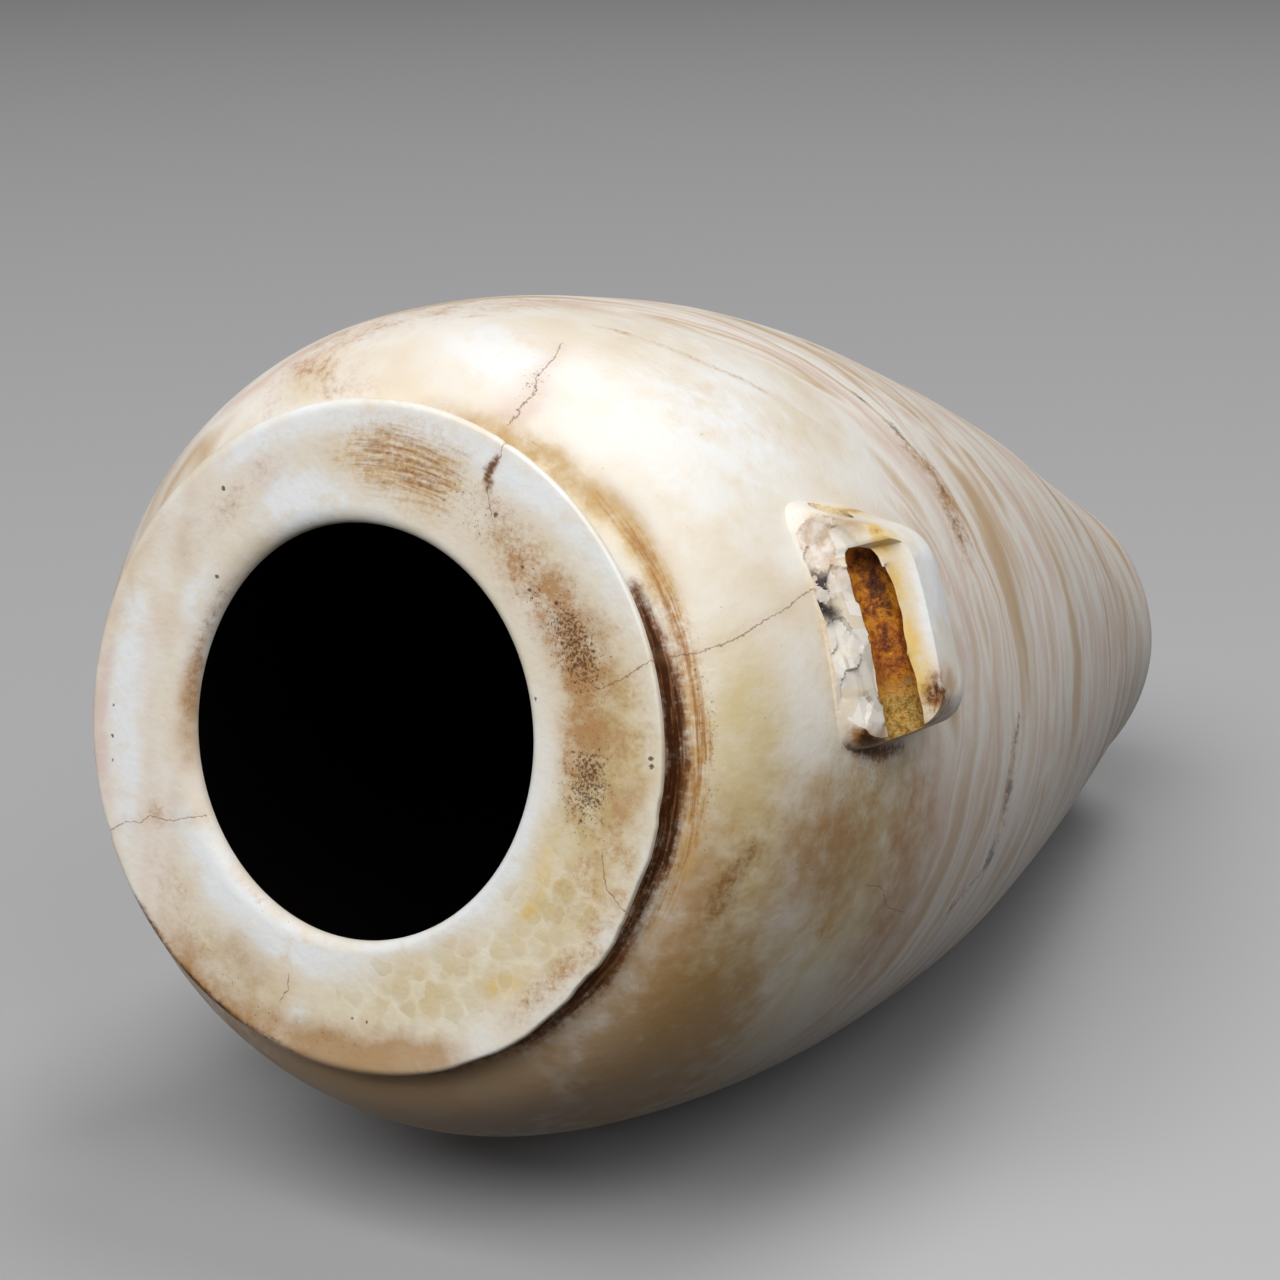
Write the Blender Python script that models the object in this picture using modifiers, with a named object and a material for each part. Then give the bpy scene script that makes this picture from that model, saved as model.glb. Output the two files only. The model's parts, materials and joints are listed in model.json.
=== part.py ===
"""Drop-shaped stone jar with two pierced lugs, lying on its side.

The jar is turned about its own axis: local Z, with the mouth plane at z = 0 and the round
tail below it. An empty then lays it down, mouth towards -Y and tail towards +Y, tipped so
that the middle of its resting spot is straight below its centre of mass. Depth means the
distance behind the mouth plane. Lengths are in metres and angles in degrees.
"""
import math

import bmesh
import bpy
import numpy as np
from mathutils import Matrix, Vector

# The turned outside
LENGTH = 0.2000
RIM_RADIUS = 0.0360
RIM_THICKNESS = 0.0007
RIM_EDGE_ROUND = 0.0004
NECK_RADIUS = 0.0340
NECK_DEPTH = 0.0034
BELLY_RADIUS = 0.0483
BELLY_DEPTH = 0.0462
TAIL_RADIUS = 0.0250
TAIL_TAPER = 12.2
SHOULDER_RISE = (0.0115, 0.0020)
SHOULDER_RUN = 0.0220
FLANK_RUN = 0.0470

# The drilled hollow
MOUTH_RADIUS = 0.0217
LIP_ROUND = (0.0026, 0.0013)
HOLLOW_RADIUS = 0.0393
HOLLOW_BELLY_DEPTH = 0.0500
HOLLOW_LENGTH = 0.1640
HOLLOW_END_RADIUS = 0.0150
UNDERCUT_RISE = (0.0110, 0.0070)
UNDERCUT_RUN = 0.0200

# The lugs: angle from +X round the axis, depth of the middle and height above the body
SEEN_LUG = (19.5, 0.0274, 0.0079)
FAR_LUG = (199.5, 0.0302, 0.0070)
LUG_ROOT = 0.0045
LUG_SPAN = (0.0252, 0.0194)
LUG_WIDTH = (0.0150, 0.0136)
LUG_LEAN = 0.0016
LUG_ROUND = 0.0031
BORE_RADIUS = 0.0023
BORE_HEIGHT = 0.0032
BORE_FORWARD = 0.0025

# The break of the seen lug: how far it runs along the lug, its foot and the wall left round the bore
BREAK_END = 0.0084
BREAK_FOOT = (0.0080, -0.0010)
BREAK_WAVE = 0.0004
RING_WALL = 0.0010

# Chips out of the rim: angle round the axis, length, bite
RIM_CHIPS = ((-21.0, 0.0044, 0.0005), (-36.0, 0.0054, 0.0006), (4.0, 0.0034, 0.0004))

# The small flat that it lies on
FLAT_DEPTH = 0.0005

STEPS_ROUND = 64
MERGE = 0.00001


def clear_scene():
    """Remove every object of the scene that is open."""
    for thing in list(bpy.data.objects):
        bpy.data.objects.remove(thing, do_unlink=True)


def new_collection(name):
    """Add a collection to the scene."""
    group = bpy.data.collections.new(name)
    bpy.context.scene.collection.children.link(group)
    return group


def curve_between(start, pull_start, pull_end, end, count):
    """Points of a cubic curve from start to end, bent towards two pulling points."""
    t = np.linspace(0.0, 1.0, count)[:, None]
    terms = ((1 - t) ** 3, 3 * (1 - t) ** 2 * t, 3 * (1 - t) * t ** 2, t ** 3)
    return sum(term * np.array(point) for term, point in zip(terms, (start, pull_start, pull_end, end)))


def ellipse_arc(centre, radii, start, stop, count):
    """Points of an ellipse arc; an angle of 0 points away from the axis, 90 to the mouth."""
    angle = np.radians(np.linspace(start, stop, count))
    return np.stack([centre[0] + radii[0] * np.cos(angle), centre[1] - radii[1] * np.sin(angle)], axis=1)


def tail_points(end_depth, radius, count):
    """The round end: an arc from where the taper meets it to the axis, as (radius, depth)."""
    centre = (0.0, end_depth - radius)
    arc = ellipse_arc(centre, (radius, radius), -TAIL_TAPER, -90.0, count)
    arc[-1, 0] = 0.0
    return arc


def outer_points():
    """(radius, depth) from the outer edge of the mouth's lip round the rim to the tail's tip."""
    edge = ellipse_arc((RIM_RADIUS - RIM_EDGE_ROUND, RIM_EDGE_ROUND), (RIM_EDGE_ROUND,) * 2, 90.0, 0.0, 3)
    under_rim = [(RIM_RADIUS, RIM_THICKNESS), (NECK_RADIUS + 0.0006, NECK_DEPTH - 0.0009)]
    neck = (NECK_RADIUS, NECK_DEPTH)
    belly = (BELLY_RADIUS, BELLY_DEPTH)
    shoulder_pull = (NECK_RADIUS + SHOULDER_RISE[0], NECK_DEPTH + SHOULDER_RISE[1])
    shoulder = curve_between(neck, shoulder_pull, (BELLY_RADIUS, BELLY_DEPTH - SHOULDER_RUN), belly, 15)
    tail = tail_points(LENGTH, TAIL_RADIUS, 9)
    taper = math.radians(TAIL_TAPER)
    flank_pull = (tail[0, 0] + FLANK_RUN * math.sin(taper), tail[0, 1] - FLANK_RUN * math.cos(taper))
    flank = curve_between(belly, (BELLY_RADIUS, BELLY_DEPTH + FLANK_RUN), flank_pull, tail[0], 15)
    return np.concatenate([edge, under_rim, shoulder, flank[1:], tail[1:]])


def hollow_points():
    """(radius, depth) from the floor of the hollow up to the mouth's face."""
    floor = tail_points(HOLLOW_LENGTH, HOLLOW_END_RADIUS, 6)
    belly = (HOLLOW_RADIUS, HOLLOW_BELLY_DEPTH)
    taper = math.radians(TAIL_TAPER)
    run = (HOLLOW_LENGTH - HOLLOW_BELLY_DEPTH) / 3
    pull = (floor[0, 0] + run * math.sin(taper), floor[0, 1] - run * math.cos(taper))
    flank = curve_between(belly, (HOLLOW_RADIUS, HOLLOW_BELLY_DEPTH + run), pull, floor[0], 11)
    throat = (MOUTH_RADIUS, LIP_ROUND[1])
    undercut_pull = (MOUTH_RADIUS + UNDERCUT_RISE[0], LIP_ROUND[1] + UNDERCUT_RISE[1])
    undercut = curve_between(throat, undercut_pull, (HOLLOW_RADIUS, HOLLOW_BELLY_DEPTH - UNDERCUT_RUN), belly, 9)
    lip = ellipse_arc((MOUTH_RADIUS + LIP_ROUND[0], LIP_ROUND[1]), LIP_ROUND, 180.0, 90.0, 4)
    from_throat = np.concatenate([undercut[:-1], flank, floor[1:]])
    return np.concatenate([from_throat[::-1], lip[1:]])


def centre_of_mass_depth():
    """Depth of the centre of mass: slices of the outside less slices of the hollow."""
    mass = moment = 0.0
    for points, sign in ((outer_points(), 1.0), (hollow_points()[::-1], -1.0)):
        radius, depth = points[:, 0], points[:, 1]
        slices = sign * (radius[:-1] ** 2 + radius[:-1] * radius[1:] + radius[1:] ** 2) / 3 * np.diff(depth)
        mass += slices.sum()
        moment += (slices * (depth[:-1] + depth[1:]) / 2).sum()
    return moment / mass


def resting_spot():
    """Radius and depth of the point it lies on, and the tip of the axis there, in radians.

    A line square to the flank at radius r crosses the axis at depth + r * slope. The jar lies
    still where that line goes through the centre of mass.
    """
    points = outer_points()
    points = points[points[:, 1] > BELLY_DEPTH]
    slope = np.gradient(points[:, 0], points[:, 1])
    crossing = points[:, 1] + points[:, 0] * slope
    reach = int(np.argmax(crossing > centre_of_mass_depth()))
    share = (centre_of_mass_depth() - crossing[reach - 1]) / (crossing[reach] - crossing[reach - 1])
    radius, depth = points[reach - 1] + share * (points[reach] - points[reach - 1])
    tip = slope[reach - 1] + share * (slope[reach] - slope[reach - 1])
    return radius, depth, -math.atan(tip)


def radius_at(depth):
    """Outside radius of the body at a depth below the neck."""
    points = outer_points()
    points = points[points[:, 1] > NECK_DEPTH]
    return float(np.interp(depth, points[:, 1], points[:, 0]))


def stone_material():
    """Cream calcite, polished by hand."""
    material = bpy.data.materials.new("banded_calcite")
    material.use_nodes = True
    shader = material.node_tree.nodes["Principled BSDF"]
    shader.inputs["Base Color"].default_value = (0.80, 0.72, 0.58, 1.0)
    shader.inputs["Roughness"].default_value = 0.32
    shader.inputs["Metallic"].default_value = 0.0
    return material


def add_object(name, mesh, group, parent=None):
    """Put a mesh into a collection as an object, under a parent."""
    thing = bpy.data.objects.new(name, mesh)
    group.objects.link(thing)
    thing.parent = parent
    return thing


def turned_body(name, group, parent):
    """The hollow jar: its closed section, swept round the axis by a Screw modifier."""
    section = np.concatenate([hollow_points(), outer_points()])
    vertices = [(radius, 0.0, -depth) for radius, depth in section]
    edges = [(i, i + 1) for i in range(len(vertices) - 1)]
    mesh = bpy.data.meshes.new(name)
    mesh.from_pydata(vertices, edges, [])
    body = add_object(name, mesh, group, parent)
    screw = body.modifiers.new("Turned", "SCREW")
    screw.axis = "Z"
    screw.steps = screw.render_steps = STEPS_ROUND
    screw.use_merge_vertices = True
    screw.merge_threshold = MERGE
    screw.use_smooth_shade = True
    return body


def as_cutter(thing):
    """Show an object as a wire guide that is never rendered."""
    thing.hide_render = True
    thing.display_type = "WIRE"
    return thing


def lug_matrix(lug):
    """Place of a lug: local X points out of the body, Y round it and Z to the mouth."""
    angle, depth, _ = lug
    out = Matrix.Rotation(math.radians(angle), 4, "Z")
    return out @ Matrix.Translation(Vector((radius_at(depth), 0.0, -depth)))


def lug_block(name, lug, group, parent):
    """A rounded block that narrows outwards, leans a little and is rooted in the wall."""
    mesh = bpy.data.meshes.new(name)
    shape = bmesh.new()
    bmesh.ops.create_cube(shape, size=1.0)
    height = lug[2]
    for vertex in shape.verts:
        out = height if vertex.co.x > 0 else -LUG_ROOT
        share = out / height
        span = LUG_SPAN[0] + share * (LUG_SPAN[1] - LUG_SPAN[0])
        width = LUG_WIDTH[0] + share * (LUG_WIDTH[1] - LUG_WIDTH[0])
        along = vertex.co.y * span + LUG_LEAN * (0.5 - share)
        vertex.co = Vector((out, along, vertex.co.z * width))
    shape.to_mesh(mesh)
    shape.free()
    block = as_cutter(add_object(name, mesh, group, parent))
    block.matrix_local = lug_matrix(lug)
    bevel = block.modifiers.new("Rounded", "BEVEL")
    bevel.width = LUG_ROUND
    bevel.segments = 3
    return block


def lug_bore(name, lug, group, parent):
    """The cord hole: a cylinder that runs round the jar, through the lug."""
    mesh = bpy.data.meshes.new(name)
    shape = bmesh.new()
    bmesh.ops.create_cone(shape, cap_ends=True, segments=16, radius1=BORE_RADIUS, radius2=BORE_RADIUS,
                          depth=LUG_SPAN[0] * 1.4)
    middle = Matrix.Translation(Vector((BORE_HEIGHT, 0.0, BORE_FORWARD)))
    shape.transform(middle @ Matrix.Rotation(math.pi / 2, 4, "X"))
    shape.to_mesh(mesh)
    shape.free()
    bore = as_cutter(add_object(name, mesh, group, parent))
    bore.matrix_local = lug_matrix(lug)
    return bore


def broken_part(name, lug, group, parent):
    """What is missing of the seen lug: its mouth side and the roof of its bore.

    Sections across the lug are lofted along it. Each one has a sloping foot that rises from
    the body to the bore's lip, and a raised back edge where the roof broke. Past the break's
    end the back edge comes forward, so that a closed ring of the bore is left there.
    """
    height = lug[2]
    half = LUG_SPAN[0] * 0.56
    stations = np.concatenate([np.linspace(-half, BREAK_END, 8), [BREAK_END + 0.0006, half]])
    mesh = bpy.data.meshes.new(name)
    shape = bmesh.new()
    rings = []
    for index, along in enumerate(stations):
        ripple = BREAK_WAVE * math.sin(2.4 * index) * (0.6 + 0.4 * math.cos(1.1 * index))
        sag = along ** 2 / (2 * radius_at(lug[1]))
        ring_left = along > BREAK_END
        lip = BORE_FORWARD + (BORE_RADIUS + RING_WALL if ring_left else BORE_RADIUS * 0.8)
        edge = lip if ring_left else BORE_FORWARD
        roof = edge if ring_left else edge - RING_WALL
        section = ((BREAK_FOOT[0], BREAK_FOOT[1] - sag), (lip, BORE_HEIGHT - BORE_RADIUS * 0.6 + ripple),
                   (edge, BORE_HEIGHT + BORE_RADIUS * 0.9 + ripple), (roof, height + BREAK_WAVE),
                   (roof, height * 1.6), (BREAK_FOOT[0], height * 1.6))
        rings.append([shape.verts.new((out, along, front)) for front, out in section])
    for ring, following in zip(rings, rings[1:]):
        for i in range(len(ring)):
            j = (i + 1) % len(ring)
            shape.faces.new((ring[i], ring[j], following[j], following[i]))
    shape.faces.new(rings[0][::-1])
    shape.faces.new(rings[-1])
    bmesh.ops.triangulate(shape, faces=shape.faces[:])
    bmesh.ops.recalc_face_normals(shape, faces=shape.faces[:])
    shape.to_mesh(mesh)
    shape.free()
    broken = as_cutter(add_object(name, mesh, group, parent))
    broken.matrix_local = lug_matrix(lug)
    return broken


def rim_chip(name, angle, length, bite, group, parent):
    """A small bite out of the rim's edge: a coarse ball, squashed flat against the edge."""
    mesh = bpy.data.meshes.new(name)
    shape = bmesh.new()
    bmesh.ops.create_icosphere(shape, subdivisions=1, radius=1.0)
    shape.transform(Matrix.Rotation(math.radians(angle * 7), 4, "Y"))
    shape.transform(Matrix.Diagonal((bite * 2.5, length / 2, RIM_THICKNESS * 2.2, 1.0)))
    shape.to_mesh(mesh)
    shape.free()
    chip = as_cutter(add_object(name, mesh, group, parent))
    turn = Matrix.Rotation(math.radians(angle), 4, "Z")
    chip.matrix_local = turn @ Matrix.Translation(Vector((RIM_RADIUS + bite * 1.4, 0.0, -RIM_THICKNESS / 2)))
    return chip


def ground_block(name, group):
    """Everything below the surface that the jar lies on."""
    mesh = bpy.data.meshes.new(name)
    shape = bmesh.new()
    bmesh.ops.create_cube(shape, size=LENGTH * 2)
    bmesh.ops.translate(shape, verts=shape.verts, vec=(0.0, 0.0, -LENGTH))
    shape.to_mesh(mesh)
    shape.free()
    return as_cutter(add_object(name, mesh, group))


def combine(body, other, operation):
    """Join another object to the body, or cut it out, by an exact Boolean."""
    boolean = body.modifiers.new(other.name, "BOOLEAN")
    boolean.operation = operation
    boolean.object = other
    boolean.solver = "EXACT"


def lay_down(cradle):
    """Turn and lift the empty so that the resting spot touches the ground."""
    radius, depth, tip = resting_spot()
    cradle.rotation_euler = (math.pi / 2 - tip, 0.0, 0.0)
    down = Vector((0.0, -radius, -depth))
    down.rotate(cradle.rotation_euler)
    cradle.location = (0.0, 0.0, -down.z - FLAT_DEPTH)


def centre_over_origin(cradle, body):
    """Slide the empty until the middle of the jar's box is over the world's origin."""
    bpy.context.view_layer.update()
    evaluated = body.evaluated_get(bpy.context.evaluated_depsgraph_get())
    mesh = evaluated.to_mesh()
    places = np.array([(evaluated.matrix_world @ vertex.co)[:] for vertex in mesh.vertices])
    evaluated.to_mesh_clear()
    middle = (places.min(axis=0) + places.max(axis=0)) / 2
    cradle.location.x -= middle[0]
    cradle.location.y -= middle[1]


def build():
    """Make the jar."""
    clear_scene()
    parts = new_collection("Lug-handled jar")
    cutters = new_collection("Cutters")
    cradle = bpy.data.objects.new("lying", None)
    parts.objects.link(cradle)
    jar = turned_body("lug_handled_jar", parts, cradle)
    jar.data.materials.append(stone_material())
    lugs = (("seen", SEEN_LUG), ("far", FAR_LUG))
    for label, lug in lugs:
        combine(jar, lug_block("lug_block_" + label, lug, cutters, cradle), "UNION")
    for label, lug in lugs:
        combine(jar, lug_bore("lug_bore_" + label, lug, cutters, cradle), "DIFFERENCE")
    combine(jar, broken_part("lug_break", SEEN_LUG, cutters, cradle), "DIFFERENCE")
    for number, (angle, length, bite) in enumerate(RIM_CHIPS):
        combine(jar, rim_chip("rim_chip_%d" % number, angle, length, bite, cutters, cradle), "DIFFERENCE")
    combine(jar, ground_block("ground", cutters), "DIFFERENCE")
    lay_down(cradle)
    centre_over_origin(cradle, jar)


build()
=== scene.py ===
# %% [markdown]
# # A lug-handled jar of banded calcite
#
# Jars like this were carved from one block of stone: turned and ground outside, drilled hollow, and
# left with two pierced lugs for a cord. Here it is one closed surface. Its body is worked out as a grid
# of two parameters, round the axis and along the section, and the lugs are joined to it by exact
# Booleans, because that is how stone looks where one form runs into another without a seam.
#
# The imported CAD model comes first. It gives the jar's place and size, and the new piece replaces it.

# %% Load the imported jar
import json

import bpy
import numpy as np
from mathutils import Matrix, Vector

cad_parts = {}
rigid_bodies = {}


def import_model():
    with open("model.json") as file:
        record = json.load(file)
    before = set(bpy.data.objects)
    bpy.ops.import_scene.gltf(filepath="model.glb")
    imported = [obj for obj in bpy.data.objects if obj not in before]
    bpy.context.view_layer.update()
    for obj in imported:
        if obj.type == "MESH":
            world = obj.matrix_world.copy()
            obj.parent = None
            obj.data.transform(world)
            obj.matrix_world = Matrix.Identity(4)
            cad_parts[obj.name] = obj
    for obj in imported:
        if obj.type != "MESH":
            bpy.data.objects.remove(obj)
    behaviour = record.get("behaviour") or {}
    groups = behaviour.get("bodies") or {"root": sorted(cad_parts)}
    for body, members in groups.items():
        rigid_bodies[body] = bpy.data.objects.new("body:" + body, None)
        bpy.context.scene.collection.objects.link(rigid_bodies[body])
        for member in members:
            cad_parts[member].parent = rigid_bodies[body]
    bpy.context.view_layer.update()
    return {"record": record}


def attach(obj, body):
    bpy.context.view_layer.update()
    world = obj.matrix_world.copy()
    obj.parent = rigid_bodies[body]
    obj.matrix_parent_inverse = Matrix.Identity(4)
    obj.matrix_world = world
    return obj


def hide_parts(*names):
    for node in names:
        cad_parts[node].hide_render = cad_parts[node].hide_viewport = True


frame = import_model()
JAR_NODE = "lug_handled_jar"

# %% [markdown]
# ## The jar's own axes
#
# A turned thing is easiest to describe from its own axis: a radius, an angle round the axis and a
# depth behind the mouth. The rim's mount tells where the mouth is and which way it looks, so all
# lengths below are in millimetres in that frame, and one function takes them to the world.

# %% Find the axes from the rim's mount
MM = 0.001
RIM_POINT_RADIUS = 30.0

rim_face = next(mount for mount in frame["record"]["mounts"] if mount["name"] == "rim_face")
TO_MOUTH = np.array(rim_face["axis"])
ACROSS = np.array([1.0, 0.0, 0.0])
UPRIGHT = np.cross(TO_MOUTH, ACROSS)
MOUTH_CENTRE = np.array(rim_face["pos_m"]) - RIM_POINT_RADIUS * MM * UPRIGHT
JAR_AXES = np.stack([ACROSS, UPRIGHT, TO_MOUTH])


def to_world(points):
    """World metres of points in jar millimetres: mouth centre + x*across + y*upright + z*to_mouth."""
    return MOUTH_CENTRE + MM * np.asarray(points) @ JAR_AXES


def to_jar(points):
    """The other way round: (x, y, z) in jar millimetres, where z is minus the depth."""
    return (np.asarray(points) - MOUTH_CENTRE) @ JAR_AXES.T / MM


print("mouth centre:", MOUTH_CENTRE.round(4))

# %% [markdown]
# ## The section
#
# The real section is an egg with a wide flat rim, a short groove under it, a full shoulder and a long
# round tail. It could be one curve turned round the axis, but this jar was made by hand: its mouth
# isn't quite centred, its lip is softly worn on one side and crisp on the other, and its rim is
# rounded at the upper left. So each stretch of the section takes arrays of values, one for each
# angle round the jar, and gives a whole grid at once.

# %% Helpers for a section that changes round the jar
def bump(angle, centre, width):
    """A smooth hill of height 1: exp(-(distance/width)^2), with the distance taken round the circle."""
    distance = (angle - centre + 180.0) % 360.0 - 180.0
    return np.exp(-(distance / width) ** 2)


def bent(start, pull_start, pull_end, end, rows):
    """Cubic curve through arrays of (radius, depth): (1-t)^3 a + 3(1-t)^2 t b + 3(1-t)t^2 c + t^3 d."""
    t = np.linspace(0.0, 1.0, rows)[:, None, None]
    terms = ((1 - t) ** 3, 3 * (1 - t) ** 2 * t, 3 * (1 - t) * t ** 2, t ** 3)
    return sum(term * point[None] for term, point in zip(terms, (start, pull_start, pull_end, end)))


def round_corner(centre, radii, start, stop, rows):
    """Ellipse arc: radius = centre + a cos(turn), depth = centre - b sin(turn); 0 is outwards."""
    turn = np.radians(np.linspace(start, stop, rows))[:, None]
    radius = centre[:, 0] + radii[:, 0] * np.cos(turn)
    depth = centre[:, 1] - radii[:, 1] * np.sin(turn)
    return np.stack([radius, depth], axis=-1)


def pair(radius, depth, angle):
    """A (radius, depth) point for each angle."""
    return np.stack([radius + 0 * angle, depth + 0 * angle], axis=-1)


print("a hill 10 degrees wide, at its top and 10 degrees off:", bump(np.array([0.0, 10.0]), 0.0, 10.0))

# %% [markdown]
# ## Driving sizes
#
# These are the sizes of the CAD source, in millimetres, and they are repeated here so that the two
# surfaces lie on each other. The functions after them say how the hand-made parts vary.

# %% Sizes of the jar
LENGTH = 200.0
RIM_RADIUS = 36.0
RIM_THICKNESS = 0.7
NECK = (34.0, 3.4)
BELLY = (48.3, 46.2)
TAIL_RADIUS = 25.0
TAIL_TAPER = 12.2
SHOULDER_RISE = (11.5, 2.0)
SHOULDER_RUN = 22.0
FLANK_RUN = 47.0
HOLLOW_BELLY = (39.3, 50.0)
HOLLOW_LENGTH = 164.0
HOLLOW_END_RADIUS = 15.0
UNDERCUT_RISE = (11.0, 7.0)
UNDERCUT_RUN = 20.0
print("the jar is", LENGTH, "mm long and", 2 * BELLY[0], "mm wide")


# %% The hand-made mouth, lip and edge
def mouth_radius(angle):
    """Radius of the mouth's throat: a circle a little off centre and a little oval."""
    turn = np.radians(angle)
    off_centre = -0.90 * np.cos(turn) + 0.45 * np.sin(turn)
    return 21.88 + off_centre - 0.28 * np.cos(2 * turn) + 0.3 * bump(angle, 125.0, 30.0)


def lip_width(angle):
    """The lip is crisp on the right and worn to a wide soft curve at the left."""
    return 1.0 + 2.3 * bump(angle, 150.0, 55.0) + 1.0 * bump(angle, -130.0, 45.0)


def lip_depth(angle):
    """How deep behind the rim's face the lip's curve begins."""
    return 0.45 * lip_width(angle) + 0.4


def edge_round(angle):
    """The rim's outer edge: sharp on the right, softly rounded at the upper left and the bottom."""
    return (0.30 + 0.9 * bump(angle, 125.0, 45.0) + 0.3 * bump(angle, 200.0, 50.0)
            + 0.8 * bump(angle, -103.0, 38.0))


quarters = np.array([0.0, 90.0, 180.0, 270.0])
print("mouth radius right, top, left, bottom:", mouth_radius(quarters).round(2))

# %% [markdown]
# ## The section's stretches
#
# The section runs from the floor of the hollow up to the throat, over the lip, across the flat rim,
# round its edge into the groove, and over shoulder and flank to the tail. The hollow is wider than
# the mouth, as a drill with a crescent bit leaves it. Rows lie closest where the photo looks.

# %% The hollow
def tail_arc(end_depth, radius, angle, rows):
    """A round end from the taper's start to just short of the axis."""
    centre = pair(0.0, end_depth - radius, angle)
    return round_corner(centre, pair(radius, radius, angle), -TAIL_TAPER, -89.0, rows)


def taper_pull(arc_start, run):
    """The pulling point that makes a flank arrive along the taper."""
    taper = np.radians(TAIL_TAPER)
    return arc_start + run * np.array([np.sin(taper), -np.cos(taper)])


def hollow_section(angle):
    """Floor arc, flank and undercut of the hollow, from the floor up to the throat."""
    floor = tail_arc(HOLLOW_LENGTH, HOLLOW_END_RADIUS, angle, 6)
    belly = pair(*HOLLOW_BELLY, angle)
    run = (HOLLOW_LENGTH - HOLLOW_BELLY[1]) / 3
    flank = bent(belly, belly + [0.0, run], taper_pull(floor[0], run), floor[0], 16)
    throat = pair(mouth_radius(angle), lip_depth(angle), angle)
    undercut = bent(throat, throat + np.array(UNDERCUT_RISE), belly - [0.0, UNDERCUT_RUN], belly, 16)
    return np.concatenate([undercut[:-1], flank, floor[1:]])[::-1]


print("rows of the hollow:", len(hollow_section(quarters)))


# %% Rim and body
def neck_point(angle):
    """The narrowest place under the rim, a little wider at the upper left."""
    return pair(NECK[0] + 0.5 * bump(angle, 120.0, 35.0), NECK[1], angle)


def rim_section(angle):
    """Lip arc, flat ring, outer edge and the groove under it."""
    width = lip_width(angle)
    depth = lip_depth(angle)
    lip_centre = pair(mouth_radius(angle) + width, depth, angle)
    lip = round_corner(lip_centre, pair(width, depth, angle), 180.0, 90.0, 9)
    soft = edge_round(angle)
    edge_centre = pair(RIM_RADIUS - soft, soft, angle)
    edge = round_corner(edge_centre, pair(soft, soft, angle), 90.0, 0.0, 6)
    t = np.linspace(0.0, 1.0, 26)[1:-1, None, None]
    ring = (1 - t) * lip[-1] + t * edge[0]
    back = pair(RIM_RADIUS, np.maximum(soft, RIM_THICKNESS) + 0.05, angle)
    neck = neck_point(angle)
    groove = bent(back, back + [-0.5, 1.0], neck + [0.1, -0.9], neck, 7)
    return np.concatenate([lip[1:], ring, edge, groove])


def body_section(angle):
    """Shoulder, flank and tail."""
    neck = neck_point(angle)
    belly = pair(*BELLY, angle)
    tail = tail_arc(LENGTH, TAIL_RADIUS, angle, 16)
    shoulder = bent(neck, neck + np.array(SHOULDER_RISE), belly - [0.0, SHOULDER_RUN], belly, 64)
    flank = bent(belly, belly + [0.0, FLANK_RUN], taper_pull(tail[0], FLANK_RUN), tail[0], 66)
    return np.concatenate([shoulder[1:], flank[1:], tail[1:]])


print("rows of rim and body:", len(rim_section(quarters)), len(body_section(quarters)))

# %% [markdown]
# ## Hand-made unevenness
#
# Ground stone is never quite round. A few slow waves, each less than a fifth of a millimetre high, are
# enough for the light to run unevenly over it. The rim has lost eight small chips, three of which are
# in the CAD solid as well, and the edge moves in at each of them.

# %% Waves and chips
# each chip: angle, half its length and how far it bites; each wave: count, twist and height
RIM_CHIPS = ((-18.0, 4.2, 0.30), (-24.5, 1.2, 0.16), (-36.0, 2.6, 0.34), (-44.0, 4.0, 0.18),
             (-3.0, 1.6, 0.16), (66.0, 0.5, 0.18), (-62.0, 3.0, 0.15), (-155.0, 0.7, 0.35))
BODY_WAVES = ((2, 0.050, 0.18), (3, -0.083, 0.12), (5, 0.121, 0.07), (9, -0.200, 0.035))


def waves(angle, depth):
    """Sum of slow waves, height * sin(count*turn + depth*twist + count^2), still at the rim."""
    turn = np.radians(angle)
    total = sum(height * np.sin(count * turn + twist * depth + count ** 2)
                for count, twist, height in BODY_WAVES)
    return total * np.clip((depth - 6.0) / 12.0, 0.0, 1.0)


def chip_bites(angle, radius, depth):
    """How far the rim's edge has broken back: flat-bottomed bites that fade away from the edge."""
    along = (angle[None, :, None] - [chip[0] for chip in RIM_CHIPS] + 180.0) % 360.0 - 180.0
    along = np.radians(along) * RIM_RADIUS
    half = np.array([chip[1] for chip in RIM_CHIPS])
    bite = np.array([chip[2] for chip in RIM_CHIPS])
    reach = (bite * np.clip(1.6 * (1.0 - np.abs(along) / half), 0.0, 1.0)).sum(axis=-1)
    to_edge = np.clip((radius - RIM_RADIUS + 1.6) / 1.6, 0.0, 1.0) * (depth < 2.6)
    return reach * to_edge ** 2


print("slow waves:", len(BODY_WAVES), "and chips:", len(RIM_CHIPS))

# %% [markdown]
# ## From grid to closed surface
#
# Every form here is a stack of closed rings with a pole at each end: the body, a lug, a drill's core
# and the broken-off part. One function puts such a stack into a mesh. It checks the enclosed volume
# and turns the faces over where it is negative, so that they always point outwards.

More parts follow.
